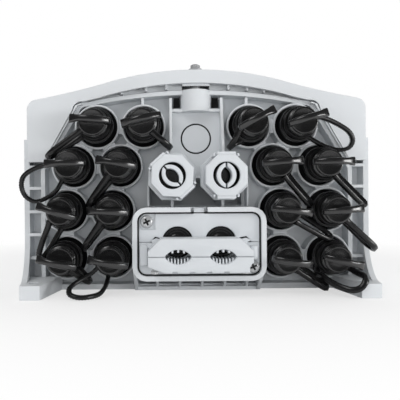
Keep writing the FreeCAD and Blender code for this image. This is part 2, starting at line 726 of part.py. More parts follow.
def cover_ribs():
    """Seal rib over the base's rim, fins between band and rib, and two stays under the crest."""
    inside = prism_y(cover_section(COVER_WALL - 0.5, COVER_LOW), COVER_FRONT + OVERCUT, COVER_FAR)
    half = COVER_HALF_WIDTH
    rib = inside.common(box(-half, half, *SEAL_RIB, COVER_LOW, FAR_AWAY))
    ribs = [rib.cut(prism_y(arch(SEAL_RIB_GAP), COLLAR_Y, RIM_BACK))]
    over_rim = prism_y(arch(FIN_GAP), COVER_FRONT, RIM_BACK)
    for x in FIN_PLACES:
        side = x - FIN_THICK / 2
        fin = box(side, side + FIN_THICK, COVER_INNER_FRONT - OVERCUT, SEAL_RIB[1], RIM_SPRING[1], FAR_AWAY)
        ribs.append(fin.common(inside).cut(over_rim))
    for y in STAY_PLACES:
        stay = box(-STAY_HALF_WIDTH, STAY_HALF_WIDTH, y, y + STAY_THICK, STAY_BOTTOM, FAR_AWAY)
        ribs.append(stay.common(inside))
    return ribs


def front_cover():
    """Arched cover with its ribs, lock pad and hinge knuckles."""
    pad = prism_z(sided(LOCK_PAD_R, 8, 0, LOCK_Y), LOCK_PAD_BOTTOM, COVER_CREST + 0.5)
    body = fuse([cover_shell(), pad] + cover_ribs() + cover_knuckles())
    bolt_way = around(LOCK_BOLT_R + RUNNING_GAP, TURN_FLATS, 0, LOCK_Y)
    return cut(body, [prism_z(bolt_way, LOCK_BOSS[0], FAR_AWAY)])


def cover_gasket():
    """Endless rubber seal: along the sides and far wall, up and over the arched rim."""
    under = prism_y(arch(0), GASKET_NEAR - OVERCUT, RIM_BACK)
    over = prism_y(arch(SEAL_RIB_GAP - 0.5), GASKET_NEAR, GASKET_NEAR + GASKET_DEPTH).cut(under)
    above = box(-FAR_AWAY, FAR_AWAY, GASKET_NEAR - OVERCUT, RIM_BACK, GROOVE_BOTTOM, FAR_AWAY)
    return fuse([gasket_loop(GROOVE_BOTTOM, SPLIT_Z).cut(under), over.common(above)])


# Lock

def insert_block(over):
    """Six-sided block of the lock insert, drawn past the boss by over."""
    return prism_z(sided(LOCK_INSERT_R, 6, 0, LOCK_Y), LOCK_BOSS[0] + 2, LOCK_BOSS[1] + over)


def lock_insert():
    """Six-sided metal sleeve in the lock boss, wide enough for the bolt's tip to swing out."""
    way = sided(LOCK_INSERT_WAY_R, SCREW_FLATS, 0, LOCK_Y)
    return insert_block(0).cut(prism_z(way, LOCK_BOSS[0], FAR_AWAY))


def lock_bolt():
    """Captive bolt with a six-sided key head above the cover and a collar under it."""
    seat = COVER_CREST + 1.2
    shaft = prism_z(sided(LOCK_BOLT_R, TURN_FLATS, 0, LOCK_Y), LOCK_BOLT_TIP, seat)
    collar = prism_z(sided(LOCK_COLLAR_R, SCREW_FLATS, 0, LOCK_Y), seat, seat + 1)
    head = prism_z(sided(LOCK_HEAD_R, 6, 0, LOCK_Y), seat + 1, LOCK_HEAD_TOP)
    return fuse([shaft, collar, head])


def lock_clip():
    """Eight-sided retaining ring on the bolt, under the cover's pad."""
    way = LOCK_BOLT_R / math.cos(math.pi / 8)
    ring = prism_z(sided(LOCK_COLLAR_R, 8, 0, LOCK_Y), *LOCK_CLIP)
    return ring.cut(prism_z(sided(way, 8, 0, LOCK_Y), *LOCK_CLIP))


# Ports

def drop_adapters():
    """Sixteen adapters: barrel with a square bore in front of the panel, square body behind it."""
    barrel = prism_y(sided(BARREL_R, BARREL_FLATS), BARREL_FRONT, PANEL_FRONT)
    rear = box(-REAR_HALF, REAR_HALF, PANEL_FRONT - OVERCUT, REAR_END, -REAR_HALF, REAR_HALF)
    bore = box(-BORE_HALF, BORE_HALF, BARREL_FRONT - OVERCUT, COLLAR_Y, -BORE_HALF, BORE_HALF)
    socket = box(-BORE_HALF, BORE_HALF, REAR_END - SOCKET_DEPTH, REAR_END + OVERCUT, -BORE_HALF, BORE_HALF)
    return at_ports(fuse([barrel, rear]).cut(bore).cut(socket))


def adapter_clips():
    """Sixteen square clips that hold the adapters against the back of the panel."""
    half = REAR_HALF
    one = box(-CLIP_HALF, CLIP_HALF, PANEL_BACK, PANEL_BACK + CLIP_THICK, -CLIP_HALF, CLIP_HALF)
    return at_ports(one.cut(box(-half, half, PANEL_BACK, PANEL_BACK + CLIP_THICK, -half, half)))


def pull_bar():
    """Grip of a cap: a bar that bows back at both ends, on a thin fin that stands on the head."""
    def plate(steps, thick):
        return outline(steps, lambda u, y: V(u, y, -thick / 2)).extrude(V(0, 0, thick))

    front = HEAD_FRONT - PULL_BAR_PROUD
    half = PULL_BAR_HALF_LENGTH
    bow = [(u * half, front + PULL_BAR_DROOP * u * u) for u in (-1.0, -0.5, 0.0, 0.5, 1.0)]
    under = [(u, y + PULL_BAR_DEPTH) for u, y in reversed(bow)]
    seat = front + PULL_BAR_DEPTH / 2
    root = HEAD_FRONT + PULL_FIN_ROOT
    low, high = PULL_FIN_HALF_LENGTHS
    fin = [(-low, root), (-high, seat), (high, seat), (low, root)]
    return fuse([plate(bow + under, PULL_BAR_THICK), plate(fin, PULL_FIN_THICK)])


def dust_cap(number):
    """One rubber cap with its plug and its pull bar, turned as that cap's lies."""
    x, z = PORTS[number]
    head = prism_y(sided(HEAD_R, HEAD_FLATS), HEAD_FRONT, HEAD_BACK)
    plug = box(-PLUG_HALF, PLUG_HALF, HEAD_BACK - OVERCUT, HEAD_BACK + PLUG_LENGTH, -PLUG_HALF, PLUG_HALF)
    grip = turned(pull_bar(), 0, 0, PULL_BAR_TILT[number])
    return turned(fuse([head, plug, grip]), x, z, 0)


def strap(number):
    """One flat tether folded back on itself, from the adapter's barrel to beside its cap."""
    x, z = PORTS[number]
    reach = STRAP_REACH[number] - STRAP_BEND_R

    def bend(radius):
        turns = [math.radians(turn) for turn in STRAP_BEND_TURNS]
        return [(reach + radius * math.cos(turn), STRAP_MIDDLE_Y + radius * math.sin(turn)) for turn in turns]

    outer = bend(STRAP_BEND_R + STRAP_THICK / 2)
    inner = bend(STRAP_BEND_R - STRAP_THICK / 2)
    start = BARREL_R - STRAP_SEAT
    end = HEAD_R + STRAP_CAP_GAP
    steps = [(start, outer[0][1])] + outer + [(end, outer[-1][1]), (end, inner[-1][1])]
    steps += inner[::-1] + [(start, inner[0][1])]
    band = outline(steps, lambda u, y: V(u, y, -STRAP_WIDTH / 2)).extrude(V(0, 0, STRAP_WIDTH))
    barrel = prism_y(sided(BARREL_R, BARREL_FLATS, x, z), BARREL_FRONT, PANEL_FRONT)
    return turned(band, x, z, STRAP_BEARING[number]).cut(barrel)


def cap_straps():
    """All sixteen straps."""
    return Part.makeCompound([strap(number) for number in range(len(PORTS))])


# Glands

def octagon(flats, y0, y1):
    """An eight-sided prism along Y, flat on top."""
    return prism_y(sided(flats / 2 / math.cos(math.pi / 8), 8), y0, y1)


def nut_half(upper):
    """Half of a split nut about the Y axis: its side of the octagon and the tab that clips over the other."""
    flange_front = NUT_REAR - NUT_FLANGE_THICK
    flange = octagon(NUT_FLANGE_FLATS, flange_front, NUT_REAR)
    body = fuse([octagon(NUT_FLATS, NUT_FRONT, flange_front), flange])
    bore = around(SPIGOT_R + RUNNING_GAP, SPIGOT_FLATS)
    body = body.cut(prism_y(bore, NUT_FRONT + NUT_WALL, NUT_REAR + OVERCUT))
    body = body.cut(prism_y(sided(NUT_HOLE_R, NUT_HOLE_FLATS), NUT_FRONT - OVERCUT, NUT_REAR))
    low = NUT_FLATS / 2 if upper else -NUT_FLATS / 2 - TAB_PROUD
    tab = box(-TAB_WIDTH / 2, TAB_WIDTH / 2, NUT_FRONT + TAB_INSET, flange_front, low, low + TAB_PROUD)
    x0, x1 = (0.0, NUT_FLATS) if upper else (-NUT_FLATS, 0.0)
    side = box(x0, x1, NUT_FRONT - OVERCUT, NUT_REAR + OVERCUT, -NUT_FLATS, NUT_FLATS)
    return fuse([body.common(side), tab])


def lens(half_width, half_height, y0, y1):
    """A pointed lens about the Y axis, tall along Z, each side an arc in short flats."""
    radius = (half_width ** 2 + half_height ** 2) / (2 * half_width)
    spread = math.asin(half_height / radius)
    turns = [spread * (2 * step / LENS_STEPS - 1) for step in range(LENS_STEPS)]
    side = [(half_width - radius + radius * math.cos(turn), radius * math.sin(turn)) for turn in turns]
    return prism_y(side + [(-x, -z) for x, z in side], y0, y1)


def gland_clamp():
    """Slotted clamp collet inside a nut: two crescent fingers on an eight-sided ring."""
    ring = prism_y(sided(SPIGOT_R - 0.4, 8), COLLET_BACK - COLLET_RING, COLLET_BACK)
    fingers = lens(*COLLET_LENS, NUT_FRONT + TAB_INSET, COLLET_BACK)
    hole = lens(*COLLET_HOLE, NUT_FRONT - OVERCUT, COLLET_BACK + OVERCUT)
    slit_end = COLLET_BACK - COLLET_RING - TAB_INSET
    slit = box(-COLLET_SLIT / 2, COLLET_SLIT / 2, NUT_FRONT, slit_end, -SPIGOT_R, SPIGOT_R)
    return fuse([ring, fingers]).cut(hole).cut(slit)


def gland_seal(x):
    """Rubber seal in a spigot, with a blank middle."""
    return spigot_bore(x, SPIGOT_FRONT + 0.5, SEAL_BACK)


# Cable entry

def entry_gasket():
    """Thin rubber frame between the entry frame and its plates."""
    ring = entry_room(0, GASKET_FRONT, PLATE_BACK).cut(entry_room(GASKET_THICK, GASKET_FRONT, PLATE_BACK))
    return ring.cut(top_notch(GASKET_FRONT, PLATE_BACK))


def cable_way(x, inset):
    """Corners of one cable way through the entry plates, made smaller by inset."""
    return sided(ENTRY_HOLE_R - inset, ENTRY_FLATS, x, ENTRY_SPLIT_Z)


def entry_plate(upper):
    """One of the two plates that close the entry, half of each cable way in its edge."""
    low, high = (ENTRY_SPLIT_Z, FRAME_TOP) if upper else (FRAME_BOTTOM, ENTRY_SPLIT_Z)
    half = box(-FRAME_HALF_WIDTH, FRAME_HALF_WIDTH, PLATE_FRONT, PLATE_BACK, low, high)
    plate = entry_room(GASKET_THICK, PLATE_FRONT, PLATE_BACK).common(half)
    if upper:
        plate = fuse([plate, box(-PLATE_TONGUE_HALF, PLATE_TONGUE_HALF, PLATE_FRONT, PLATE_BACK,
                                 FRAME_TOP - 2 * FRAME_WALL, FRAME_TOP - 0.4)])
    ways = [prism_y(cable_way(x, 0), PLATE_FRONT, PLATE_BACK) for x in (-ENTRY_HOLE_X, ENTRY_HOLE_X)]
    place = ENTRY_SCREWS[0 if upper else 1]
    return cut(plate, ways + [prism_y(sided(SCREW_R, SCREW_FLATS, *place), PLATE_FRONT, PLATE_BACK)])


def entry_seal():
    """Rubber block behind the plates with two blank plugs that stand in the cable ways."""
    wall = FRAME_WALL + PLAY
    edge = FRAME_HALF_WIDTH - wall
    low = FRAME_BOTTOM + wall
    high = FRAME_TOP - wall
    bevel = FRAME_CORNER_R - FRAME_WALL
    steps = [(-edge, low + bevel), (bevel - edge, low), (edge - bevel, low), (edge, low + bevel),
             (edge, high - bevel), (edge - bevel, high), (bevel - edge, high), (-edge, high - bevel)]
    plugs = [prism_y(cable_way(x, PLAY), PLATE_BACK - PLUG_INTO_PLATE, PLATE_BACK)
             for x in (-ENTRY_HOLE_X, ENTRY_HOLE_X)]
    return fuse([prism_y(steps, PLATE_BACK, SEAL_END)] + plugs)


def entry_screws():
    """Two pan-head screws that hold the entry plates."""
    screws = []
    for x, z in ENTRY_SCREWS:
        head = prism_y(sided(SCREW_HEAD_R, SCREW_FLATS, x, z), PLATE_FRONT - SCREW_HEAD_THICK, PLATE_FRONT)
        shank = prism_y(sided(SCREW_R, SCREW_FLATS, x, z), PLATE_FRONT, PLATE_BACK)
        screws.append(fuse([head, shank]))
    return Part.makeCompound(screws)


# Cable clamp

def clamp_lenses(teeth_side):
    """Tools for the two lens holes, with three teeth left standing on one side of the split."""
    tools = []
    for x in (-ENTRY_HOLE_X, ENTRY_HOLE_X):
        hole = turned(lens(LENS_HALF_HEIGHT, LENS_HALF_WIDTH, CLAMP_FRONT, PLATE_FRONT), x, CLAMP_SPLIT, 90.0)
        for step in (-1, 0, 1):
            tip = CLAMP_SPLIT + teeth_side * (TOOTH_TIP - TOOTH_DROP * abs(step))
            root = CLAMP_SPLIT + teeth_side * (LENS_HALF_HEIGHT + OVERCUT)
            middle = x + step * TOOTH_PITCH
            tooth = prism_y([(middle, tip), (middle + TOOTH_HALF, root), (middle - TOOTH_HALF, root)],
                            CLAMP_FRONT, PLATE_FRONT)
            hole = hole.cut(tooth)
        tools.append(hole)
    return tools


def bolt_shank(x, low):
    """The shank of a clamp bolt, as a rod or as the tool for its hole."""
    return prism_z(sided(SCREW_R, 8, x, BOLT_Y), low, BOLT_TOP)


def clamp_bar(upper):
    """One bar of the cable clamp, with bevelled corners and half of each toothed lens."""
    w = CLAMP_HALF_WIDTH
    top = CLAMP_TOP_HALF
    low = CLAMP_BOTTOM_HALF
    if upper:
        steps = [(-w, CLAMP_SPLIT), (w, CLAMP_SPLIT), (w, CLAMP_SHOULDER), (top, CLAMP_TOP),
                 (-top, CLAMP_TOP), (-w, CLAMP_SHOULDER)]
    else:
        steps = [(-w, CLAMP_SPLIT), (-w, CLAMP_KNEE), (-low, CLAMP_BOTTOM), (low, CLAMP_BOTTOM),
                 (w, CLAMP_KNEE), (w, CLAMP_SPLIT)]
    bar = prism_y(steps, CLAMP_FRONT, PLATE_FRONT)
    tools = clamp_lenses(1 if upper else -1) + [bolt_shank(x, FRAME_BOTTOM) for x in (-BOLT_X, BOLT_X)]
    if not upper:
        screw_room = sided(SCREW_HEAD_R + 0.6, SCREW_FLATS, *ENTRY_SCREWS[1])
        tools.append(prism_y(screw_room, CLAMP_FRONT, PLATE_FRONT))
        width, depth = CLAMP_NOTCH
        top = CLAMP_BOTTOM + depth
        tools += [box(x - width / 2, x + width / 2, CLAMP_FRONT, PLATE_FRONT - width, FRAME_BOTTOM, top)
                  for x in CLAMP_NOTCHES]
    return cut(bar, tools)


def clamp_bolts():
    """Two six-sided bolts that draw the clamp bars together from below."""
    radius, low, high = BOLT_HEAD
    return Part.makeCompound([fuse([prism_z(sided(radius, 6, x, BOLT_Y), low, high), bolt_shank(x, high)])
                              for x in (-BOLT_X, BOLT_X)])


# Inside

def tray_bracket():
    """Folded sheet table on the four posts, with two raised lips that carry the trays."""
    near, far = BRACKET_Y
    table = box(-BRACKET_HALF_WIDTH, BRACKET_HALF_WIDTH, near, far, BRACKET_Z, BRACKET_Z + BRACKET_THICK)
    lips = [box(-LIP_HALF_WIDTH, LIP_HALF_WIDTH, y, y + BRACKET_THICK, BRACKET_Z + BRACKET_THICK, LIP_TOP)
            for y in (near, far - BRACKET_THICK)]
    return fuse([table] + lips)


def bracket_screws():
    """Four screws that hold the bracket on its posts."""
    low = BRACKET_Z + BRACKET_THICK
    places = [(x, y) for x in (-POST_X, POST_X) for y in POST_Y]
    high = low + BRACKET_SCREW_THICK
    return Part.makeCompound([prism_z(sided(BRACKET_SCREW_R, SCREW_FLATS, x, y), low, high)
                              for x, y in places])


def tray_block(inset, z0, z1):
    """A tray's outline drawn up, made smaller all round by inset."""
    near, far = TRAY_Y
    half = TRAY_HALF_WIDTH - inset
    return prism_z(bevelled_plan(half, near + inset, far - inset, TRAY_CORNER - inset / 2), z0, z1)


def splice_tray(z0):
    """Shallow tray with two fibre spools and a splice comb."""
    floor = z0 + TRAY_WALL
    tray = tray_block(0, z0, z0 + TRAY_HEIGHT).cut(tray_block(TRAY_WALL, floor, z0 + TRAY_HEIGHT))
    spools = [prism_z(sided(SPOOL_R, SPOOL_FLATS, x, SPOOL_Y), floor, z0 + SPOOL_HEIGHT)
              for x in (-SPOOL_X, SPOOL_X)]
    first = -COMB_PITCH * (COMB_TEETH - 1) / 2
    teeth = [first + COMB_PITCH * step for step in range(COMB_TEETH)]
    comb = [box(x - COMB_THICK / 2, x + COMB_THICK / 2, *COMB_Y, floor, z0 + COMB_HEIGHT) for x in teeth]
    return fuse([tray] + spools + comb)


def tray_lid(z0):
    """Flat clear lid over the upper tray."""
    return tray_block(0, z0, z0 + LID_THICK)


def splitter_module():
    """Splitter block beside the trays, on the back plate."""
    across, along, top = SPLITTER
    return box(*across, *along, BACK_PLATE, top)


def strength_clamps():
    """Two clamps for the cables' strength members, on the back plate behind the entry."""
    near, far = STRENGTH_CLAMP_Y
    half, low = STRENGTH_SLOT
    block = box(-STRENGTH_CLAMP_HALF, STRENGTH_CLAMP_HALF, near, far, BACK_PLATE, STRENGTH_CLAMP_TOP)
    block = block.cut(box(-half, half, near, far, low, STRENGTH_CLAMP_TOP))
    return Part.makeCompound([turned(block, x, 0, 0) for x in (-ENTRY_HOLE_X, ENTRY_HOLE_X)])


def build():
    """Every sub-part by its name."""
    nodes = {
        "base_housing": base_housing(),
        "front_cover": front_cover(),
        "cover_gasket": cover_gasket(),
        "hinge_pins": hinge_pins(),
        "lock_insert": lock_insert(),
        "lock_bolt": lock_bolt(),
        "lock_clip": lock_clip(),
        "drop_adapters": drop_adapters(),
        "adapter_clips": adapter_clips(),
        "cap_straps": cap_straps(),
        "entry_upper_plate": entry_plate(True),
        "entry_lower_plate": entry_plate(False),
        "entry_gasket": entry_gasket(),
        "entry_seal": entry_seal(),
        "entry_screws": entry_screws(),
        "clamp_upper_bar": clamp_bar(True),
        "clamp_lower_bar": clamp_bar(False),
        "clamp_bolts": clamp_bolts(),
        "tray_bracket": tray_bracket(),
        "bracket_screws": bracket_screws(),
        "splice_tray_lower": splice_tray(LIP_TOP),
        "splice_tray_upper": splice_tray(LIP_TOP + TRAY_HEIGHT),
        "tray_lid": tray_lid(LIP_TOP + 2 * TRAY_HEIGHT),
        "splitter_module": splitter_module(),
        "strength_clamps": strength_clamps(),
    }
    for side, x in (("left", -GLAND_X), ("right", GLAND_X)):
        turn = NUT_TURN[side]
        nodes[f"gland_nut_{side}_upper"] = turned(nut_half(True), x, GLAND_Z, turn)
        nodes[f"gland_nut_{side}_lower"] = turned(nut_half(False), x, GLAND_Z, turn)
        nodes[f"gland_clamp_{side}"] = turned(gland_clamp(), x, GLAND_Z, turn)
        nodes[f"gland_seal_{side}"] = gland_seal(x)
    for number in range(len(PORTS)):
        nodes[f"dust_cap_{number + 1:02d}"] = dust_cap(number)
    return nodes


os.makedirs("parts", exist_ok=True)
for name, shape in build().items():
    shape.exportStep(f"parts/{name}.step")
    print(f"{name}: {len(shape.Solids)} solid(s), {shape.Volume / 1000:.2f} cm3, valid {shape.isValid()}")
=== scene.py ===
"""Dresses the fibre termination box: finishes, dust caps, tethers, fittings, studio and camera."""
import json
import logging
import math
from dataclasses import dataclass, field
from enum import Enum
from typing import Sequence

import bmesh
import bpy
from mathutils import Matrix, Vector


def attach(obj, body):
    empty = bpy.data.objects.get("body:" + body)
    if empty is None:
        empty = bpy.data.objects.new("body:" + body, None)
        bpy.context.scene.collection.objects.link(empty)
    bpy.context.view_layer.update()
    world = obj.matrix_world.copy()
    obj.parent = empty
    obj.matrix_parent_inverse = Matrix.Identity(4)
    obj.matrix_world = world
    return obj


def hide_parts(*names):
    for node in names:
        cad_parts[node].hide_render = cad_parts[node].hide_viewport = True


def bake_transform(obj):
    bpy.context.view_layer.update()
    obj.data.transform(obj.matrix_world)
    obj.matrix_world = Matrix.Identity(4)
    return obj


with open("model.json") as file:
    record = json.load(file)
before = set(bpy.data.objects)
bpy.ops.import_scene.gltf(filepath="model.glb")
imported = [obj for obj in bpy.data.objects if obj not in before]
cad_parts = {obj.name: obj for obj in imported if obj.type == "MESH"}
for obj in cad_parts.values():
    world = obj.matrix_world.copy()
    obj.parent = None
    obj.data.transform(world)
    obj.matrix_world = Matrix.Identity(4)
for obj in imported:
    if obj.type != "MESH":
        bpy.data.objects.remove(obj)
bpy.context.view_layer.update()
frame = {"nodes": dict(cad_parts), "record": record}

MM = 0.001
LOG = logging.getLogger("fibre_box")

Colour = tuple[float, float, float]
Point = tuple[float, float, float]
Flat = tuple[float, float]
Rows = tuple[Flat, ...]
Outline = list[Flat]
Loop = list[Vector]
Inputs = dict[str | int, object]
Tree = bpy.types.NodeTree
Socket = bpy.types.NodeSocket

# Port field, in millimetres and degrees: rows from the top, ports 01 to 16
PORT_PITCH = 30.6
ROW_HEIGHTS = (107.0, 81.0, 52.0, 21.5)
ROW_INNER_X = (34.6, 49.8, 55.0, 55.0)
BAR_TILT = (-4.0, 13.5, 1.0, -10.0, -19.0, -3.0, -13.0, -10.0,
            17.0, 28.0, 0.0, 4.0, 5.5, -8.0, -14.0, -9.0)
TETHER_BEARING = (-145.0, -41.0, -154.0, -127.0, -116.0, -126.0, -40.0, -100.0,
                  -18.0, -133.0, -46.0, -50.0, -44.0, -32.0, -20.0, -36.0)
TETHER_REACH = (36.0, 23.0, 34.0, 32.0, 32.0, 30.0, 22.0, 18.0,
                34.0, 21.0, 36.0, 33.0, 36.0, 33.5, 22.0, 32.0)
TETHER_SPLAY = (0.6, 0.6, 0.0, 0.8, 3.2, 0.7, 0.6, 0.0,
                0.0, 3.0, 2.6, 2.4, 0.6, 3.4, 0.0, 2.2)
FLAT_TETHERS = (5, 11, 12, 14, 16)

# Tethers that lie open, by port: the way that the strap's width faces, and the knots from barrel to cap
OPEN_TETHERS: dict[int, tuple[Point, tuple[Point, ...]]] = {
    3: ((0.0, 1.0, 0.0), (
        (-86.6, -147.2, 72.3), (-91.0, -148.5, 65.0), (-97.0, -150.5, 60.3), (-103.5, -152.0, 58.4),
        (-109.0, -153.3, 61.5), (-111.3, -154.6, 67.5), (-109.8, -156.2, 73.8), (-104.0, -158.0, 78.0),
        (-97.0, -159.6, 80.3), (-88.6, -160.6, 81.2))),
    8: ((0.0, 1.0, 0.0), (
        (-57.5, -147.2, 11.2), (-57.8, -153.0, 7.5), (-58.7, -161.0, 4.4), (-61.0, -169.5, 2.2),
        (-66.0, -176.0, 1.7), (-72.0, -178.0, 1.8), (-77.2, -176.0, 3.2), (-78.2, -171.0, 6.0),
        (-75.0, -166.5, 8.8), (-70.0, -163.2, 11.6), (-66.0, -161.4, 14.0), (-62.6, -160.6, 17.2))),
    9: ((0.0, 1.0, 0.0), (
        (71.6, -147.2, 98.8), (80.8, -148.8, 93.2), (90.0, -150.4, 90.0), (96.5, -152.0, 91.3),
        (98.4, -153.4, 96.2), (94.8, -155.0, 101.7), (86.0, -157.0, 106.6), (78.0, -159.2, 109.2),
        (73.2, -160.6, 109.6))),
    15: ((-0.2, 0.35, 0.9), (
        (77.5, -147.2, 14.2), (75.5, -152.0, 11.6), (76.5, -160.0, 11.0), (79.0, -167.0, 8.6),
        (83.5, -173.0, 6.2), (89.0, -177.2, 4.9), (94.0, -178.0, 6.2), (97.0, -177.4, 10.0),
        (97.6, -174.5, 12.6), (96.4, -168.5, 13.4), (94.6, -163.8, 14.8), (92.6, -160.8, 16.6))),
}

# Corners of a strap's section, in half widths and half thicknesses
STRIP_SECTION = ((1.0, -0.45), (1.0, 0.45), (0.72, 1.0), (-0.72, 1.0),
                 (-1.0, 0.45), (-1.0, -0.45), (-0.72, -1.0), (0.72, -1.0))

# Share of a bevel at which its round has a middle row
BEVEL_MIDDLE = 0.28

# Least bend value of an outline's corner, which keeps sharp corners from running away when they are inset
CORNER_LIMIT = 0.35


class Slot(Enum):
    """Material slots of the record."""

    SHELL = "shell_plastic"
    FITTING = "fitting_plastic"
    RUBBER = "black_rubber"
    ADAPTER = "black_plastic"
    CLIP = "clip_plastic"
    STEEL = "bright_steel"
    BRASS = "brass_insert"
    TRAY = "tray_plastic"


class Side(Enum):
    """The two halves of the port field, as seen from the port end."""

    LEFT = -1
    RIGHT = 1


# Shader nodes

def feed(tree: Tree, node: bpy.types.Node, values: Inputs) -> None:
    """Sets a node's inputs.

    Args:
        tree: The node's tree.
        node: The node.
        values: Numbers, colours or other nodes' sockets, by the input's name or place.
    """
    for key, value in values.items():
        if isinstance(value, Socket):
            tree.links.new(value, node.inputs[key])
        else:
            node.inputs[key].default_value = value


def add_node(tree: Tree, kind: str, settings: dict[str, object] | None = None,
             values: Inputs | None = None) -> bpy.types.Node:
    """Adds a node to a tree.

    Args:
        tree: The tree to add to.
        kind: The node's type name.
        settings: Properties of the node itself.
        values: Its inputs, as feed takes them.

    Returns:
        The new node.
    """
    node = tree.nodes.new(kind)
    for key, value in (settings or {}).items():
        setattr(node, key, value)
    feed(tree, node, values or {})
    return node


def maths(tree: Tree, operation: str, first: object, second: object) -> Socket:
    """Joins two sockets or numbers by a Math node.

    Args:
        tree: The tree to add to.
        operation: The Math node's operation.
        first: A socket or a number.
        second: A socket or a number.

    Returns:
        The node's result socket.
    """
    return add_node(tree, "ShaderNodeMath", {"operation": operation}, {0: first, 1: second}).outputs[0]


def noise(tree: Tree, scale: object, detail: float) -> Socket:
    """Adds a noise texture in the piece's own coordinates.

    Args:
        tree: The tree to add to.
        scale: Cells per metre, a socket or a number.
        detail: How many finer layers it has.

    Returns:
        The noise value, about 0.5 on average.
    """
    place = add_node(tree, "ShaderNodeTexCoord").outputs["Object"]
    values = {"Vector": place, "Scale": scale, "Detail": detail, "Roughness": 0.55}
    return add_node(tree, "ShaderNodeTexNoise", values=values).outputs["Fac"]


def new_group(name: str, inputs: dict[str, float], outputs: dict[str, str]) -> Tree:
    """Starts a shader node group.

    Args:
        name: The group's name.
        inputs: Each input's name and its usual value.
        outputs: Each output's name and its socket type.

    Returns:
        The group, with its input and output nodes named "in" and "out".
    """
    group = bpy.data.node_groups.new(name, "ShaderNodeTree")
    for key, value in inputs.items():
        socket = group.interface.new_socket(key, in_out="INPUT", socket_type="NodeSocketFloat")
        socket.default_value = value
    for key, kind in outputs.items():
        group.interface.new_socket(key, in_out="OUTPUT", socket_type=kind)
    group.nodes.new("NodeGroupInput").name = "in"
    group.nodes.new("NodeGroupOutput").name = "out"
    return group


def grain_group() -> Tree:
    """Builds the moulded grain: a fine height and a slow change of tone over the surface."""
    group = new_group("moulded_grain", {"Scale": 2200.0, "Patch": 26.0},
                      {"Height": "NodeSocketFloat", "Tone": "NodeSocketFloat"})
    inside = group.nodes["in"].outputs
    feed(group, group.nodes["out"], {"Height": noise(group, inside["Scale"], 3.0),
                                     "Tone": noise(group, inside["Patch"], 4.0)})
    return group


def edge_group() -> Tree:
    """Builds the rubbed-edge mask: where the rounded normal leaves the face's own normal."""
    group = new_group("rubbed_edge", {"Radius": 0.0007, "Gain": 3.0},
                      {"Mask": "NodeSocketFloat", "Normal": "NodeSocketVector"})
    inside = group.nodes["in"].outputs
    soft = add_node(group, "ShaderNodeBevel", {"samples": 6}, {"Radius": inside["Radius"]}).outputs["Normal"]
    flat = add_node(group, "ShaderNodeNewGeometry").outputs["Normal"]
    dot = add_node(group, "ShaderNodeVectorMath", {"operation": "DOT_PRODUCT"}, {0: soft, 1: flat})
    off = maths(group, "SUBTRACT", 1.0, dot.outputs["Value"])
    wide = maths(group, "MULTIPLY", off, inside["Gain"])
    broken = maths(group, "MULTIPLY", wide, noise(group, 260.0, 3.0))
    feed(group, group.nodes["out"], {"Mask": maths(group, "MINIMUM", broken, 1.0), "Normal": soft})
    return group


def dust_group() -> Tree:
    """Builds the settled-dust mask: patchy, and only on faces that look up."""
    group = new_group("settled_dust", {"Amount": 0.3}, {"Mask": "NodeSocketFloat"})
    flat = add_node(group, "ShaderNodeNewGeometry").outputs["Normal"]
    parts = add_node(group, "ShaderNodeSeparateXYZ", values={0: flat})
    upward = maths(group, "MAXIMUM", parts.outputs["Z"], 0.0)
    patches = maths(group, "MULTIPLY", upward, noise(group, 140.0, 6.0))
    amount = group.nodes["in"].outputs["Amount"]
    feed(group, group.nodes["out"], {"Mask": maths(group, "MULTIPLY", patches, amount)})
    return group


@dataclass(frozen=True)
class Effects:
    """The shared node groups that finishes place in their materials."""

    grain: Tree
    edge: Tree
    dust: Tree


EFFECTS = Effects(grain_group(), edge_group(), dust_group())


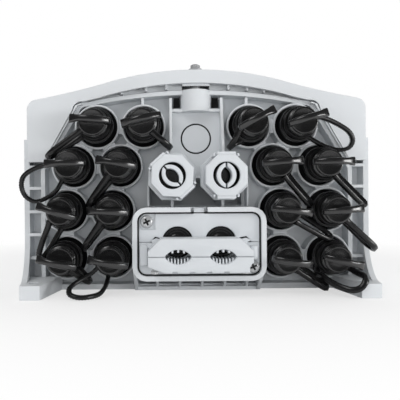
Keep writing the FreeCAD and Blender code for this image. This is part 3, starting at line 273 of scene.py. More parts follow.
@dataclass(frozen=True)
class Finish:
    """A surface finish made of one base colour and the shared effects.

    Attributes:
        name: The material's name.
        slot: The record's slot that it fills.
        colour: Base colour, linear.
        patch: Colour that the slow change of tone leans to.
        rubbed: Colour of rubbed edges.
        roughness: Lowest roughness.
        roughness_span: How much the grain adds to it.
        metallic: How much of a metal's mirror it has.
        specular: Specular level.
        grain_scale: Grain cells per metre.
        grain_depth: Depth of the grain in metres.
        wear: How far edges go to the rubbed colour.
        dust: How much dust lies on faces that look up.
        edge_radius: Radius that sharp edges are shaded with, in metres.
        dust_colour: Colour of the dust.
    """

    name: str
    slot: Slot
    colour: Colour
    patch: Colour
    rubbed: Colour
    roughness: float
    roughness_span: float = 0.12
    metallic: float = 0.0
    specular: float = 0.5
    grain_scale: float = 2200.0
    grain_depth: float = 0.00003
    wear: float = 0.25
    dust: float = 0.15
    edge_radius: float = 0.0005
    dust_colour: Colour = (0.60, 0.60, 0.58)

    def material(self) -> bpy.types.Material:
        """Builds the finish's material, or finds it where it is built already.

        Returns:
            The material.
        """
        found = bpy.data.materials.get(self.name)
        if found:
            return found
        made = bpy.data.materials.new(self.name)
        made.use_nodes = True
        made.diffuse_color = (*self.colour, 1.0)
        tree = made.node_tree
        grain = add_node(tree, "ShaderNodeGroup", {"node_tree": EFFECTS.grain}, {"Scale": self.grain_scale})
        edge = add_node(tree, "ShaderNodeGroup", {"node_tree": EFFECTS.edge}, {"Radius": self.edge_radius})
        dust = add_node(tree, "ShaderNodeGroup", {"node_tree": EFFECTS.dust}, {"Amount": self.dust})
        height = grain.outputs["Height"]
        toned = self.mixed(tree, grain.outputs["Tone"], (*self.colour, 1.0), self.patch)
        worn = self.mixed(tree, maths(tree, "MULTIPLY", edge.outputs["Mask"], self.wear), toned, self.rubbed)
        rough = maths(tree, "MULTIPLY", height, self.roughness_span)
        bump = add_node(tree, "ShaderNodeBump", values={
            "Strength": 1.0,
            "Distance": self.grain_depth,
            "Height": height,
            "Normal": edge.outputs["Normal"],
        })
        feed(tree, tree.nodes["Principled BSDF"], {
            "Base Color": self.mixed(tree, dust.outputs["Mask"], worn, self.dust_colour),
            "Metallic": self.metallic,
            "Specular IOR Level": self.specular,
            "Roughness": maths(tree, "ADD", rough, self.roughness),
            "Normal": bump.outputs["Normal"],
        })
        return made

    def mixed(self, tree: Tree, factor: Socket, first: object, second: Colour) -> Socket:
        """Mixes two colours by a mask.

        Args:
            tree: The material's tree.
            factor: The mask.
            first: The colour where the mask is 0, with its alpha, or the socket of one.
            second: The colour where the mask is 1.

        Returns:
            The mixed colour's socket.
        """
        values = {"Factor": factor, "A": first, "B": (*second, 1.0)}
        return add_node(tree, "ShaderNodeMix", {"data_type": "RGBA"}, values).outputs["Result"]


SHELL = Finish("shell_white_grey", Slot.SHELL, (0.71, 0.735, 0.755), (0.67, 0.695, 0.72), (0.80, 0.81, 0.82),
               0.42)
FITTING = Finish("fitting_white", Slot.FITTING, (0.66, 0.685, 0.71), (0.62, 0.65, 0.68), (0.77, 0.78, 0.79),
                 0.36)
RUBBER = Finish("cap_rubber", Slot.RUBBER, (0.005, 0.005, 0.0055), (0.009, 0.009, 0.0095),
                (0.05, 0.05, 0.052), 0.15, specular=1.0, wear=0.25, dust=0.02, grain_scale=1500.0)
SEAL = Finish("seal_rubber", Slot.RUBBER, (0.005, 0.005, 0.0055), (0.009, 0.009, 0.0095),
              (0.04, 0.04, 0.042), 0.18, specular=0.45, wear=0.2, dust=0.02, grain_scale=1500.0)
# Black of the adapters. The same black also stands in as painted shade in the recesses beside the lock boss,
# in the screw recesses and in the knock-out's score.
ADAPTER = Finish("adapter_black", Slot.ADAPTER, (0.004, 0.004, 0.0045), (0.007, 0.007, 0.0075),
                 (0.03, 0.03, 0.032), 0.24, specular=0.4, dust=0.01)
CLIP = Finish("clip_blue", Slot.CLIP, (0.03, 0.14, 0.34), (0.035, 0.16, 0.38), (0.10, 0.26, 0.48), 0.4)
STEEL = Finish("zinc_steel", Slot.STEEL, (0.60, 0.61, 0.62), (0.48, 0.49, 0.50), (0.78, 0.78, 0.78), 0.2,
               metallic=0.45, dust=0.05, grain_scale=3500.0, grain_depth=0.00001)
BRASS = Finish("brass_sleeve", Slot.BRASS, (0.62, 0.46, 0.20), (0.52, 0.37, 0.15), (0.75, 0.60, 0.32), 0.28,
               metallic=0.6, dust=0.05, grain_scale=3500.0, grain_depth=0.00001)
TRAY = Finish("tray_grey", Slot.TRAY, (0.42, 0.44, 0.46), (0.38, 0.40, 0.42), (0.55, 0.56, 0.57), 0.45)

# The finish that the frame's own solids take in each slot
FRAME_FINISHES = (SHELL, FITTING, RUBBER, ADAPTER, CLIP, STEEL, BRASS, TRAY)
SLOT_FINISHES = {finish.slot: finish for finish in FRAME_FINISHES}


# Outlines and loops

def spread(count: int, first: float, last: float) -> list[float]:
    """Gives evenly spaced numbers from first to last, both included."""
    return [first + (last - first) * step / (count - 1) for step in range(count)]


def arc(centre: Flat, radius: float, first: float, last: float, count: int) -> Outline:
    """Gives points along an arc.

    Args:
        centre: Middle of the arc.
        radius: Its radius.
        first: Bearing of its first point, in degrees.
        last: Bearing of its last point, in degrees.
        count: How many points.

    Returns:
        The points in order.
    """
    turns = [math.radians(turn) for turn in spread(count, first, last)]
    return [(centre[0] + radius * math.cos(turn), centre[1] + radius * math.sin(turn)) for turn in turns]


def rounded(x0: float, x1: float, z0: float, z1: float, radius: float) -> Outline:
    """Gives the outline of a rectangle with round corners.

    Args:
        x0: Left edge.
        x1: Right edge.
        z0: Lower edge.
        z1: Upper edge.
        radius: Corner radius.

    Returns:
        The outline's points.
    """
    corners = (((x1 - radius, z0 + radius), -90.0), ((x1 - radius, z1 - radius), 0.0),
               ((x0 + radius, z1 - radius), 90.0), ((x0 + radius, z0 + radius), 180.0))
    return [point for centre, first in corners for point in arc(centre, radius, first, first + 90.0, 7)]


def wedge(x: float, half: float, tip_half: float, root: float, tip: float) -> Outline:
    """Gives the outline of a block that may taper along Z.

    Args:
        x: Its middle.
        half: Half its width at the root.
        tip_half: Half its width at the tip.
        root: Z of the root.
        tip: Z of the tip.

    Returns:
        The four corners.
    """
    return [(x - half, root), (x + half, root), (x + tip_half, tip), (x - tip_half, tip)]


def inset(outline: Outline, distance: float) -> Outline:
    """Moves every edge of an outline inwards.

    Args:
        outline: Points in order, either way round.
        distance: How far.

    Returns:
        The smaller outline, with as many points.
    """
    count = len(outline)
    area = sum(a[0] * b[1] - b[0] * a[1] for a, b in zip(outline, outline[1:] + outline[:1]))
    hand = 1.0 if area > 0 else -1.0
    moved = []
    for place in range(count):
        before, here, after = (Vector(outline[(place + step) % count]) for step in (-1, 0, 1))
        sides = [Vector((-way.y, way.x)).normalized() * hand for way in (here - before, after - here)]
        bend = max(1.0 + sides[0].dot(sides[1]), CORNER_LIMIT)
        point = here + (sides[0] + sides[1]) * (distance / bend)
        moved.append((point.x, point.y))
    return moved


def level(outline: Sequence[Flat], y: float) -> Loop:
    """Lays an outline of X and Z at one Y."""
    return [Vector((x, y, z)) for x, z in outline]


def around(radius: float, y: float, steps: int) -> Loop:
    """Gives a ring of points about the Y axis."""
    turns = [math.tau * step / steps for step in range(steps)]
    return [Vector((radius * math.cos(turn), y, radius * math.sin(turn))) for turn in turns]


def turn_at(x: float, z: float, degrees: float = 0.0) -> Matrix:
    """Gives the place of a shape made about the Y axis.

    Args:
        x: X of its axis, in millimetres.
        z: Z of its axis, in millimetres.
        degrees: Its turn as seen from the port end.

    Returns:
        The matrix, in millimetres.
    """
    return Matrix.Translation((x, 0.0, z)) @ Matrix.Rotation(math.radians(degrees), 4, (0.0, -1.0, 0.0))


def smooth_path(knots: Loop, pitch: float) -> Loop:
    """Draws a smooth curve through knots.

    Args:
        knots: The points that it passes.
        pitch: About how far apart its points are.

    Returns:
        The curve's points.
    """
    ends = [knots[0] * 2 - knots[1], *knots, knots[-1] * 2 - knots[-2]]
    points = [knots[0]]
    for a, b, c, d in zip(ends, ends[1:], ends[2:], ends[3:]):
        count = max(2, round((c - b).length / pitch))
        for step in range(1, count + 1):
            t = step / count
            points.append(0.5 * (2 * b + (c - a) * t + (2 * a - 5 * b + 4 * c - d) * t ** 2
                                 + (3 * b - a - 3 * c + d) * t ** 3))
    return points


@dataclass
class Solid:
    """A mesh under construction, in millimetres.

    Attributes:
        points: Its vertices.
        faces: Its faces, as numbers of vertices.
    """

    points: Loop = field(default_factory=list)
    faces: list[tuple[int, ...]] = field(default_factory=list)

    def loft(self, loops: Sequence[Loop]) -> "Solid":
        """Skins loops of equal length and closes both ends.

        Args:
            loops: The loops in order.

        Returns:
            This solid.
        """
        first = len(self.points)
        size = len(loops[0])
        for loop in loops:
            self.points.extend(loop)
        for row in range(first, first + size * (len(loops) - 1), size):
            for step in range(size):
                after = row + (step + 1) % size
                self.faces.append((row + step, after, after + size, row + step + size))
        self.faces.append(tuple(range(first + size - 1, first - 1, -1)))
        self.faces.append(tuple(range(len(self.points) - size, len(self.points))))
        return self

    def lathe(self, profile: Sequence[Flat], steps: int = 48) -> "Solid":
        """Turns a profile of radius and Y about the Y axis, and closes both ends."""
        return self.loft([around(radius, y, steps) for radius, y in profile])

    def turned(self, spokes: Sequence[Sequence[Vector]]) -> "Solid":
        """Skins closed profiles that go once round an axis, with a hole through the middle.

        Args:
            spokes: The profiles in order, alike in length.

        Returns:
            This solid.
        """
        first = len(self.points)
        size = len(spokes[0])
        for spoke in spokes:
            self.points.extend(spoke)
        for step in range(len(spokes)):
            here = first + step * size
            there = first + (step + 1) % len(spokes) * size
            for place in range(size):
                after = (place + 1) % size
                self.faces.append((here + place, there + place, there + after, here + after))
        return self

    def ring(self, profile: Sequence[Flat], steps: int = 48) -> "Solid":
        """Turns a closed profile of radius and Y about the Y axis, with a hole through its middle."""
        return self.turned(list(zip(*[around(radius, y, steps) for radius, y in profile])))

    def prism(self, outline: Outline, front: float, back: float, bevel: float = 0.4) -> "Solid":
        """Draws an outline in X and Z out along Y, with a bevelled front edge.

        Args:
            outline: Its points.
            front: Y of the front face.
            back: Y of the back face.
            bevel: Width of the bevel.

        Returns:
            This solid.
        """
        middle = bevel * BEVEL_MIDDLE
        return self.loft([level(inset(outline, bevel), front), level(inset(outline, middle), front + middle),
                          level(outline, front + bevel), level(outline, back)])

    def strip(self, path: Loop, across: Vector, widths: Sequence[Flat]) -> "Solid":
        """Sweeps a flat strip with rounded edges along a path.

        Args:
            path: The path's points.
            across: The way that its width faces.
            widths: Half width and half thickness at each point.

        Returns:
            This solid.
        """
        loops = []
        for place, (here, (wide, thick)) in enumerate(zip(path, widths)):
            along = (path[min(place + 1, len(path) - 1)] - path[max(place - 1, 0)]).normalized()
            side = (across - along * across.dot(along)).normalized()
            over = along.cross(side)
            loops.append([here + side * a * wide + over * b * thick for a, b in STRIP_SECTION])
        return self.loft(loops)

    def joined(self, other: "Solid") -> "Solid":
        """Gives this solid and another as one."""
        count = len(self.points)
        shifted = [tuple(number + count for number in face) for face in other.faces]
        return Solid(self.points + other.points, self.faces + shifted)

    def placed(self, matrix: Matrix) -> "Solid":
        """Gives a copy of the solid at another place."""
        return Solid([matrix @ point for point in self.points], list(self.faces))

    def mesh(self, name: str, finish: Finish, sharp: float = 38.0) -> bpy.types.Mesh:
        """Makes a Blender mesh in metres, with one finish and its creases kept sharp.

        Args:
            name: The mesh's name.
            finish: Its finish.
            sharp: Angle from which a crease is sharp, in degrees.

        Returns:
            The mesh.
        """
        build = bmesh.new()
        corners = [build.verts.new(point * MM) for point in self.points]
        for face in self.faces:
            build.faces.new([corners[number] for number in face])
        bmesh.ops.recalc_face_normals(build, faces=build.faces)
        data = bpy.data.meshes.new(name)
        build.to_mesh(data)
        build.free()
        data.shade_smooth()
        data.set_sharp_from_angle(angle=math.radians(sharp))
        data.materials.append(finish.material())
        return data

    def piece(self, name: str, finish: Finish, body: str = "base",
              nodes: Sequence[str] = ()) -> bpy.types.Object:
        """Makes the solid a piece of the scene.

        Args:
            name: The piece's name.
            finish: Its finish.
            body: The body that it rides.
            nodes: Nodes of the frame that it stands for.

        Returns:
            The piece.
        """
        return show(self.mesh(name, finish), name, body, nodes)


def show(data: bpy.types.Mesh, name: str, body: str, nodes: Sequence[str] = (),
         place: Matrix | None = None) -> bpy.types.Object:
    """Puts a mesh in the scene as a piece that rides a body.

    Args:
        data: The mesh.
        name: The piece's name.
        body: The body that it rides, or an empty name where it is blended later.
        nodes: Nodes of the frame that it stands for.
        place: Its place in millimetres, where it isn't in the mesh already.

    Returns:
        The piece.
    """
    made = bpy.data.objects.new(name, data)
    bpy.context.scene.collection.objects.link(made)
    if place:
        turn = place.to_quaternion().to_matrix().to_4x4()
        made.matrix_world = Matrix.Translation(place.translation * MM) @ turn
    if nodes:
        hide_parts(*nodes)
    if body:
        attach(made, body)
    LOG.info("%s: %d faces", name, len(data.polygons))
    return made


# Ports

@dataclass(frozen=True)
class Port:
    """One drop port with the lie of its cap and tether.

    Attributes:
        number: Its number, 1 to 16.
        x: X of its axis in millimetres.
        z: Z of its axis in millimetres.
        tilt: Tilt of the cap's pull bar in degrees.
        bearing: Way that the tether goes, in degrees.
        reach: How far the tether's fold is from the axis, in millimetres.
        splay: How far each leg of the tether leans sideways at its root, in millimetres.
    """

    number: int
    x: float
    z: float
    tilt: float
    bearing: float
    reach: float
    splay: float

    @property
    def label(self) -> str:
        """The number as two digits."""
        return f"{self.number:02d}"


def port_field() -> list[Port]:
    """Lists the ports: left block then right block, top row first, outer port first."""
    axes = [(side.value * x, z) for side in Side for row, z in zip(ROW_INNER_X, ROW_HEIGHTS)
            for x in (row + PORT_PITCH, row)]
    lies = zip(BAR_TILT, TETHER_BEARING, TETHER_REACH, TETHER_SPLAY)
    return [Port(number + 1, *axis, *lie) for number, (axis, lie) in enumerate(zip(axes, lies))]


@dataclass
class Collars:
    """Rounded lips on the sixteen collars of the end panel, and two small ribs under its rim.

    Attributes:
        inner: Inner radius of a lip.
        outer: Outer radius of a lip.
        root: Y of the panel's relief.
        proud: How far a lip stands out of it.
        rib_x: X of the ribs.
        rib_half: Half the thickness of a rib.
        rib_span: Lowest and highest Z of a rib.
        rib_back: Y of a rib's back.
    """

    inner: float = 13.3
    outer: float = 14.8
    root: float = -139.6
    proud: float = 1.8
    rib_x: Flat = (-35.3, 33.3)
    rib_half: float = 0.9
    rib_span: Flat = (120.6, 126.2)
    rib_back: float = -128.5

    def build(self, ports: Sequence[Port]) -> None:
        """Sets the lips and the ribs.

        Args:
            ports: The ports.
        """
        half = (self.outer - self.inner) / 2
        crown = arc((self.inner + half, self.root - self.proud + half), half, 0.0, -180.0, 9)
        profile = [(self.outer, self.root), *crown, (self.inner, self.root)]
        data = Solid().ring(profile, 72).mesh("collar_lip", SHELL)
        for port in ports:
            show(data, f"collar_lip_{port.label}", "base", place=turn_at(port.x, port.z))
        ribs = Solid()
        for x in self.rib_x:
            ribs.prism(wedge(x, self.rib_half, self.rib_half, *self.rib_span), self.root, self.rib_back)
        ribs.piece("rim_ribs", SHELL)


@dataclass
class Adapters:
    """Black drop adapters in the collars: barrel with ridges, flange and square bore.

    Attributes:
        profile: Radius and Y of the barrel's rings, from the lip to the flange.
        bore: Half width of the square bore.
        bore_corner: Corner radius of the bore.
        sleeve: Radius of the sleeve that the bore is in.
        sleeve_y: Y of the sleeve's back and front, and of the bore's front and floor.
        body: Half width of the square body behind the panel.
        body_y: Y of the body's front and back.
    """

    profile: Rows = (
        (9.3, -156.5), (10.1, -156.4), (10.4, -156.0), (10.4, -155.1), (10.1, -154.8), (9.9, -154.6),
        (9.9, -150.6), (10.4, -150.3), (10.4, -144.4), (10.0, -144.1), (10.0, -142.6), (10.4, -142.3),
        (10.4, -140.6), (10.0, -140.3), (10.0, -138.4), (10.4, -138.0), (10.9, -137.6), (11.9, -136.9),
        (12.6, -136.2), (12.9, -135.4), (12.9, -131.8), (12.6, -131.2), (12.6, -130.2), (12.9, -129.6),
        (12.9, -129.1), (9.3, -129.1),
    )
    bore: float = 4.8
    bore_corner: float = 0.8
    sleeve: float = 9.4
    sleeve_y: tuple[float, ...] = (-140.2, -156.2, -156.4, -141.0)
    body: float = 7.5
    body_y: Flat = (-129.2, -104.0)

    def build(self, ports: Sequence[Port]) -> None:
        """Sets one adapter at each port, with its square body behind the panel.

        Args:
            ports: The ports.
        """
        solid = Solid().ring(self.profile, 56)
        square = rounded(-self.bore, self.bore, -self.bore, self.bore, self.bore_corner)
        outside = arc((0.0, 0.0), self.sleeve, -90.0, 257.0, len(square))
        solid.loft([level(flat, y) for flat, y in zip((outside, outside, square, square), self.sleeve_y)])
        solid.prism(rounded(-self.body, self.body, -self.body, self.body, 0.6), *self.body_y, 0.2)
        data = solid.mesh("drop_adapter", ADAPTER)
        for port in ports:
            show(data, f"drop_adapter_{port.label}", "base", ["drop_adapters"],
                 turn_at(port.x, port.z))


@dataclass
class DustCaps:
    """Rubber caps: grooved head, square plug, and a bowed pull bar on a fin, with a thick outer tab.

    Attributes:
        profile: Radius and Y of the head's rings, from its dished front to its back.
        bar: Along the pull bar: place from -1 to 1, half thickness, and how much smaller it is all round.
        half_length: Half the bar's length.
        depth: Its size along Y.
        front: Y of its front in the middle.
        droop: How far its ends lie back.
        round_edge: Radius of its long edges.
        fin: Corners of the fin, as place along the bar and Y.
        fin_half: Half the fin's thickness.
        plug: Half width of the square plug.
        plug_rows: Inset and Y of the plug's loops, from the head to the tip.
    """

    profile: Rows = (
        (0.4, -164.5), (4.0, -164.6), (6.6, -164.8), (7.2, -165.0), (7.9, -165.0), (8.3, -164.8),
        (8.5, -164.3), (8.5, -162.7), (8.3, -162.3), (7.9, -162.0), (7.9, -161.3), (8.3, -161.0),
        (8.8, -160.9), (9.15, -160.6), (9.25, -160.1), (9.25, -158.0), (9.1, -157.4), (8.6, -157.0),
        (0.4, -157.0),
    )
    bar: tuple[Point, ...] = (
        (-1.0, 1.9, 0.5), (-0.985, 1.9, 0.18), (-0.96, 1.9, 0.0), (-0.8, 2.0, 0.0), (-0.6, 2.1, 0.0),
        (-0.3, 2.1, 0.0), (0.0, 2.05, 0.0), (0.3, 2.0, 0.0), (0.5, 2.0, 0.0), (0.66, 2.15, 0.0),
        (0.76, 2.5, 0.0), (0.96, 2.7, 0.0), (0.985, 2.7, 0.2), (1.0, 2.7, 0.55),
    )
    half_length: float = 12.3
    depth: float = 3.4
    front: float = -180.0
    droop: float = 5.0
    round_edge: float = 1.4
    fin: Rows = ((-7.4, -163.5), (-8.6, -175.6), (-4.5, -178.0), (4.5, -178.0), (8.6, -175.6), (7.4, -163.5))
    fin_half: float = 1.0
    plug: float = 4.3
    plug_rows: Rows = ((0.0, -157.2), (0.0, -147.6), (0.6, -147.0))

    def build(self, ports: Sequence[Port]) -> None:
        """Sets a cap on each port.

        Args:
            ports: The ports.
        """
        solid = Solid().lathe(self.profile, 56)
        solid.loft([self.section(*row) for row in self.bar])
        solid.loft([[Vector((u, y, side)) for u, y in self.fin] for side in (-self.fin_half, self.fin_half)])
        plug = rounded(-self.plug, self.plug, -self.plug, self.plug, 1.0)
        solid.loft([level(inset(plug, step), y) for step, y in self.plug_rows])
        data = solid.mesh("dust_cap", RUBBER, 50.0)
        for port in ports:
            turn = port.tilt + (180.0 if port.x < 0 else 0.0)
            show(data, f"rubber_cap_{port.label}", f"cap_{port.label}", [f"dust_cap_{port.label}"],
                 turn_at(port.x, port.z, turn))

    def section(self, along: float, half: float, shrink: float) -> Loop:
        """Gives the pull bar's section at one place: a rectangle with round corners.

        Args:
            along: Place along the bar, -1 to 1.
            half: Half its thickness.
            shrink: How much smaller it is all round.

        Returns:
            The section's points.
        """
        flat = inset(rounded(-half, half, 0.0, self.depth, self.round_edge), shrink)
        front = self.front + self.droop * along ** 2
        return [Vector((along * self.half_length, front + y, side)) for side, y in flat]


@dataclass(frozen=True)
class StrapCourse:
    """How a closed strap runs out from its adapter and back to its cap.

    Attributes:
        root: Radius at which it leaves the adapter's band.
        leans: Share of the splay halfway out, at the bend and beside the tip.
        rear_steps: How far it has come forward halfway out and at the bend.
        front_steps: How far it lies behind the cap's end there, on its way back.
        tip_back: How far the knots beside the tip fall short of it.
        tip_rise: How far they lie before and behind it.
    """

    root: float
    leans: Point
    rear_steps: Flat
    front_steps: Flat
    tip_back: float
    tip_rise: float


class Lie(Enum):
    """The two ways that closed straps lie: folded over with the legs one behind the other, or looped flat."""

    FOLDED = StrapCourse(10.6, (0.75, 0.3, 0.1), (0.4, 0.8), (0.2, 0.8), 1.6, 3.6)
    FLAT = StrapCourse(10.8, (0.85, 0.66, 0.42), (1.6, 3.6), (1.6, 3.6), 1.0, 1.2)


@dataclass
class Tethers:
    """Rubber straps that tie each cap to its adapter.

    Attributes:
        half_width: Half the strap's width.
        half_thick: Half its thickness.
        flat_thick: Half the thickness of straps that loop flat.
        rear: Y of the leg on the adapter.
        front: Y of the leg on the cap.
        fold: How far before the tip a closed strap starts to bend.
        cap_radius: Radius that the leg on the cap aims at, and ends at.
        pitch: Distance between points along a strap.
        ridge: Thickness between the fine ridges, as a share.
        foot: How much thicker a strap's ends are, as a share, and over how many points.
        band: Radius and Y of the band round the barrel.
        stretch: Y where the adapter's part of a strap ends and the cap's begins; not used.
    """

    half_width: float = 1.9
    half_thick: float = 1.35
    flat_thick: float = 1.7
    rear: float = -147.2
    front: float = -160.6
    fold: float = 5.4
    cap_radius: Flat = (8.4, 8.2)
    pitch: float = 0.75
    ridge: float = 0.86
    foot: Flat = (0.2, 4.0)
    band: Rows = ((10.3, -145.2), (11.3, -145.4), (11.5, -146.0),
                  (11.5, -148.6), (11.3, -149.2), (10.3, -149.4))
    stretch: Flat = (-149.5, -159.0)

    def build(self, ports: Sequence[Port]) -> None:
        """Sets each port's strap with its band round the barrel.

        Args:
            ports: The ports.
        """
        for port in ports:
            across, knots = self.course(port)
            path = smooth_path(knots, self.pitch)
            thick = self.flat_thick if port.number in FLAT_TETHERS else self.half_thick
            solid = Solid().ring(self.band).placed(turn_at(port.x, port.z))
            solid.strip(path, across, self.widths(len(path), thick))
            name = f"tether_{port.label}"
            made = show(solid.mesh(name, SEAL, 60.0), name, "", ["cap_straps"])
            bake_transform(made)

    def course(self, port: Port) -> tuple[Vector, Loop]:
        """Gives the way that a strap's width faces, and the knots of its path from the barrel to the cap.

        Args:
            port: The strap's port.

        Returns:
            The way and the knots.
        """
        if port.number in OPEN_TETHERS:
            across, knots = OPEN_TETHERS[port.number]
            return Vector(across), [Vector(knot) for knot in knots]
        way = math.radians(port.bearing)
        out = Vector((math.cos(way), 0.0, math.sin(way)))
        side = Vector((-out.z, 0.0, out.x))
        lie = Lie.FLAT if port.number in FLAT_TETHERS else Lie.FOLDED
        across = Vector((0.0, 1.0, 0.0)) if lie is Lie.FLAT else side
        axis = Vector((port.x, 0.0, port.z))
        return across, [axis + Vector((0.0, y, 0.0)) + out * reach + side * (port.splay * lean)
                        for reach, lean, y in self.rows(port.reach, lie.value)]

    def rows(self, reach: float, course: StrapCourse) -> list[Point]:
        """Gives the knots of a closed strap, from the barrel to the cap.

        Args:
            reach: How far its tip is from the port's axis.
            course: How it runs.

        Returns:
            Distance from the axis, share of the splay and Y of each knot.
        """
        bend = reach - self.fold
        middle = (self.rear + self.front) / 2
        halfway, turn, tip = course.leans
        aim, end = self.cap_radius
        return [
            (course.root, 1.0, self.rear),
            ((course.root + bend) / 2, halfway, self.rear - course.rear_steps[0]),
            (bend, turn, self.rear - course.rear_steps[1]),
            (reach - course.tip_back, tip, middle + course.tip_rise),
            (reach, 0.0, middle),
            (reach - course.tip_back, -tip, middle - course.tip_rise),
            (bend, -turn, self.front + course.front_steps[1]),
            ((aim + bend) / 2, -halfway, self.front + course.front_steps[0]),
            (end, -1.0, self.front),
        ]

    def widths(self, count: int, thick: float) -> list[Flat]:
        """Gives half width and half thickness along a strap: fine ridges across, wider feet.

        Args:
            count: How many points its path has.
            thick: Half the strap's thickness.

        Returns:
            The two half sizes at each point.
        """
        swell, length = self.foot
        sizes = []
        for place in range(count):
            foot = 1.0 + swell * max(0.0, 1.0 - min(place, count - 1 - place) / length)
            ridge = 1.0 if place % 2 else self.ridge
            sizes.append((self.half_width * foot, thick * ridge * foot))
        return sizes


# Glands

@dataclass
class Glands:
    """Split gland nuts with their crescent collets, and the thin webs beside them.

    Attributes:
        x: X of the right gland's axis.
        z: Z of both axes.
        turns: Turn of the left and the right nut, in degrees.
        flats: Width across a nut's flats.
        flange: Half the width across its flange's flats.
        hole: Radius of its front hole.
        bore: Radius of the room behind it.
        front: Y of its front face.
        rear: Y of its flange's back.
        steps: Points round a nut.
        finger_outside: Reach, radius and half sweep in radians of a collet finger's outer arc.
        finger_inside: The same of its inner arc.
        slit: Half the slit between the fingers.
        finger_back: Y of the fingers' back.
        boot: Radius and Y of the rubber ring behind the fingers.
        tab: Half widths of a clip tab's root and tip, and their heights over the nut's flat.
        catch: The same of the catches beside a tab.
        catch_x: How far a catch is from the tab's middle.
        middle_web: Half width, lowest and highest Z of the web between the nuts.
        middle_web_y: Y of its front and back.
        side_webs: X of the webs beside the nuts.
        side_web: Half thickness, lowest and highest Z of such a web.
        side_web_y: Y of its front and back.
        web_bevel: Width of the webs' bevel.
    """

    x: float = 16.2
    z: float = 73.3
    turns: Flat = (42.0, 0.0)
    flats: float = 25.2
    flange: float = 14.8
    hole: float = 8.1
    bore: float = 11.1
    front: float = -174.0
    rear: float = -156.0
    steps: int = 48
    finger_outside: Point = (5.9, 7.97, 1.24)
    finger_inside: Point = (3.4, 5.99, 1.02)
    slit: float = 0.55
    finger_back: float = -162.4
    boot: Rows = ((10.4, -162.5), (10.6, -162.2), (10.6, -160.0), (5.2, -160.0), (5.4, -162.5))
    tab: tuple[float, ...] = (5.8, 5.4, -0.4, 1.5)
    catch: tuple[float, ...] = (0.7, 0.5, -1.2, 0.5)
    catch_x: float = 7.2
    middle_web: Point = (5.2, 72.4, 73.8)
    middle_web_y: Flat = (-156.8, -140.0)
    side_webs: Flat = (-31.6, 32.2)
    side_web: Point = (0.6, 54.4, 68.0)
    side_web_y: Flat = (-150.0, -139.6)
    web_bevel: float = 0.2

    def nut(self) -> Solid:
        """Builds a nut: octagon with a groove before its flange, and a clip tab with catches on two flats.

        Returns:
            The nut about the Y axis.
        """
        reach = self.flats / 2
        groove = reach - 1.6
        front = self.front
        rear = self.rear
        edge = self.flange
        hole = self.hole
        rows = [(hole, front + 3.0, False), (hole, front + 0.4, False), (hole + 0.4, front, False),
                (reach - 0.8, front, True), (reach - 0.2, front + 0.2, True), (reach, front + 0.8, True),
                (reach, rear - 5.6, True), (groove, rear - 5.5, True), (groove, rear - 3.9, True),
                (edge - 0.5, rear - 3.8, True), (edge, rear - 3.3, True), (edge, rear, True),
                (self.bore, rear, False), (self.bore, front + 3.0, False)]
        solid = Solid().turned([[self.spoke(*row, step) for row in rows] for step in range(self.steps)])
        half, tip_half, root, tip = self.tab
        outline = wedge(0.0, half, tip_half, reach + root, reach + tip)
        tab = Solid().prism(outline, front + 0.5, rear - 4.0, 0.35)
        half, tip_half, root, tip = self.catch
        for x in (-self.catch_x, self.catch_x):
            tab.prism(wedge(x, half, tip_half, reach + root, reach + tip), front + 1.4, rear - 5.0, 0.2)
        for way in (0.0, 180.0):
            solid = solid.joined(tab.placed(turn_at(0.0, 0.0, way)))
        return solid

    def spoke(self, radius: float, y: float, flat: bool, step: int) -> Vector:
        """Gives one point of a nut's profile.

        Args:
            radius: Radius, or half the width across flats.
            y: Y of the point.
            flat: Whether the profile is an octagon there.
            step: Which bearing.

        Returns:
            The point.
        """
        turn = math.tau * step / self.steps
        if flat:
            off = (turn + math.pi / 8) % (math.pi / 4) - math.pi / 8
            radius /= math.cos(off)
        return Vector((radius * math.cos(turn), y, radius * math.sin(turn)))

    def crescent(self) -> Outline:
        """Gives the crescent finger on the +X side of a collet.

        Returns:
            Its outline.
        """
        points = []
        arcs = ((self.finger_outside, 1.0, 15), (self.finger_inside, -1.0, 13))
        for (reach, radius, sweep), hand, count in arcs:
            half = hand * math.degrees(sweep)
            points += arc((reach - radius, 0.0), radius, -half, half, count)
        return [(max(x, self.slit), z) for x, z in points]

    def build(self) -> None:
        """Sets both glands and the webs."""
        for side, turn in zip(Side, self.turns):
            name = side.name.lower()
            body = f"nut_{name}"
            place, other = (turn_at(side.value * self.x, self.z, turn + way) for way in (0.0, 180.0))
            halves = [f"gland_nut_{name}_upper", f"gland_nut_{name}_lower"]
            clamp = [f"gland_clamp_{name}"]
            self.nut().placed(place).piece(f"split_nut_{name}", FITTING, body, halves)
            finger = Solid().prism(self.crescent(), self.front + 0.6, self.finger_back, 0.35)
            for label, way in (("a", place), ("b", other)):
                finger.placed(way).piece(f"collet_finger_{name}_{label}", FITTING, body, clamp)
            Solid().ring(self.boot).placed(place).piece(f"collet_ring_{name}", SEAL, body, clamp)
        half, low, high = self.middle_web
        webs = Solid().prism(wedge(0.0, half, half, low, high), *self.middle_web_y, self.web_bevel)
        half, low, high = self.side_web
        for x in self.side_webs:
            webs.prism(wedge(x, half, half, low, high), *self.side_web_y, self.web_bevel)
        webs.piece("gland_webs", SHELL)


# Cable entry

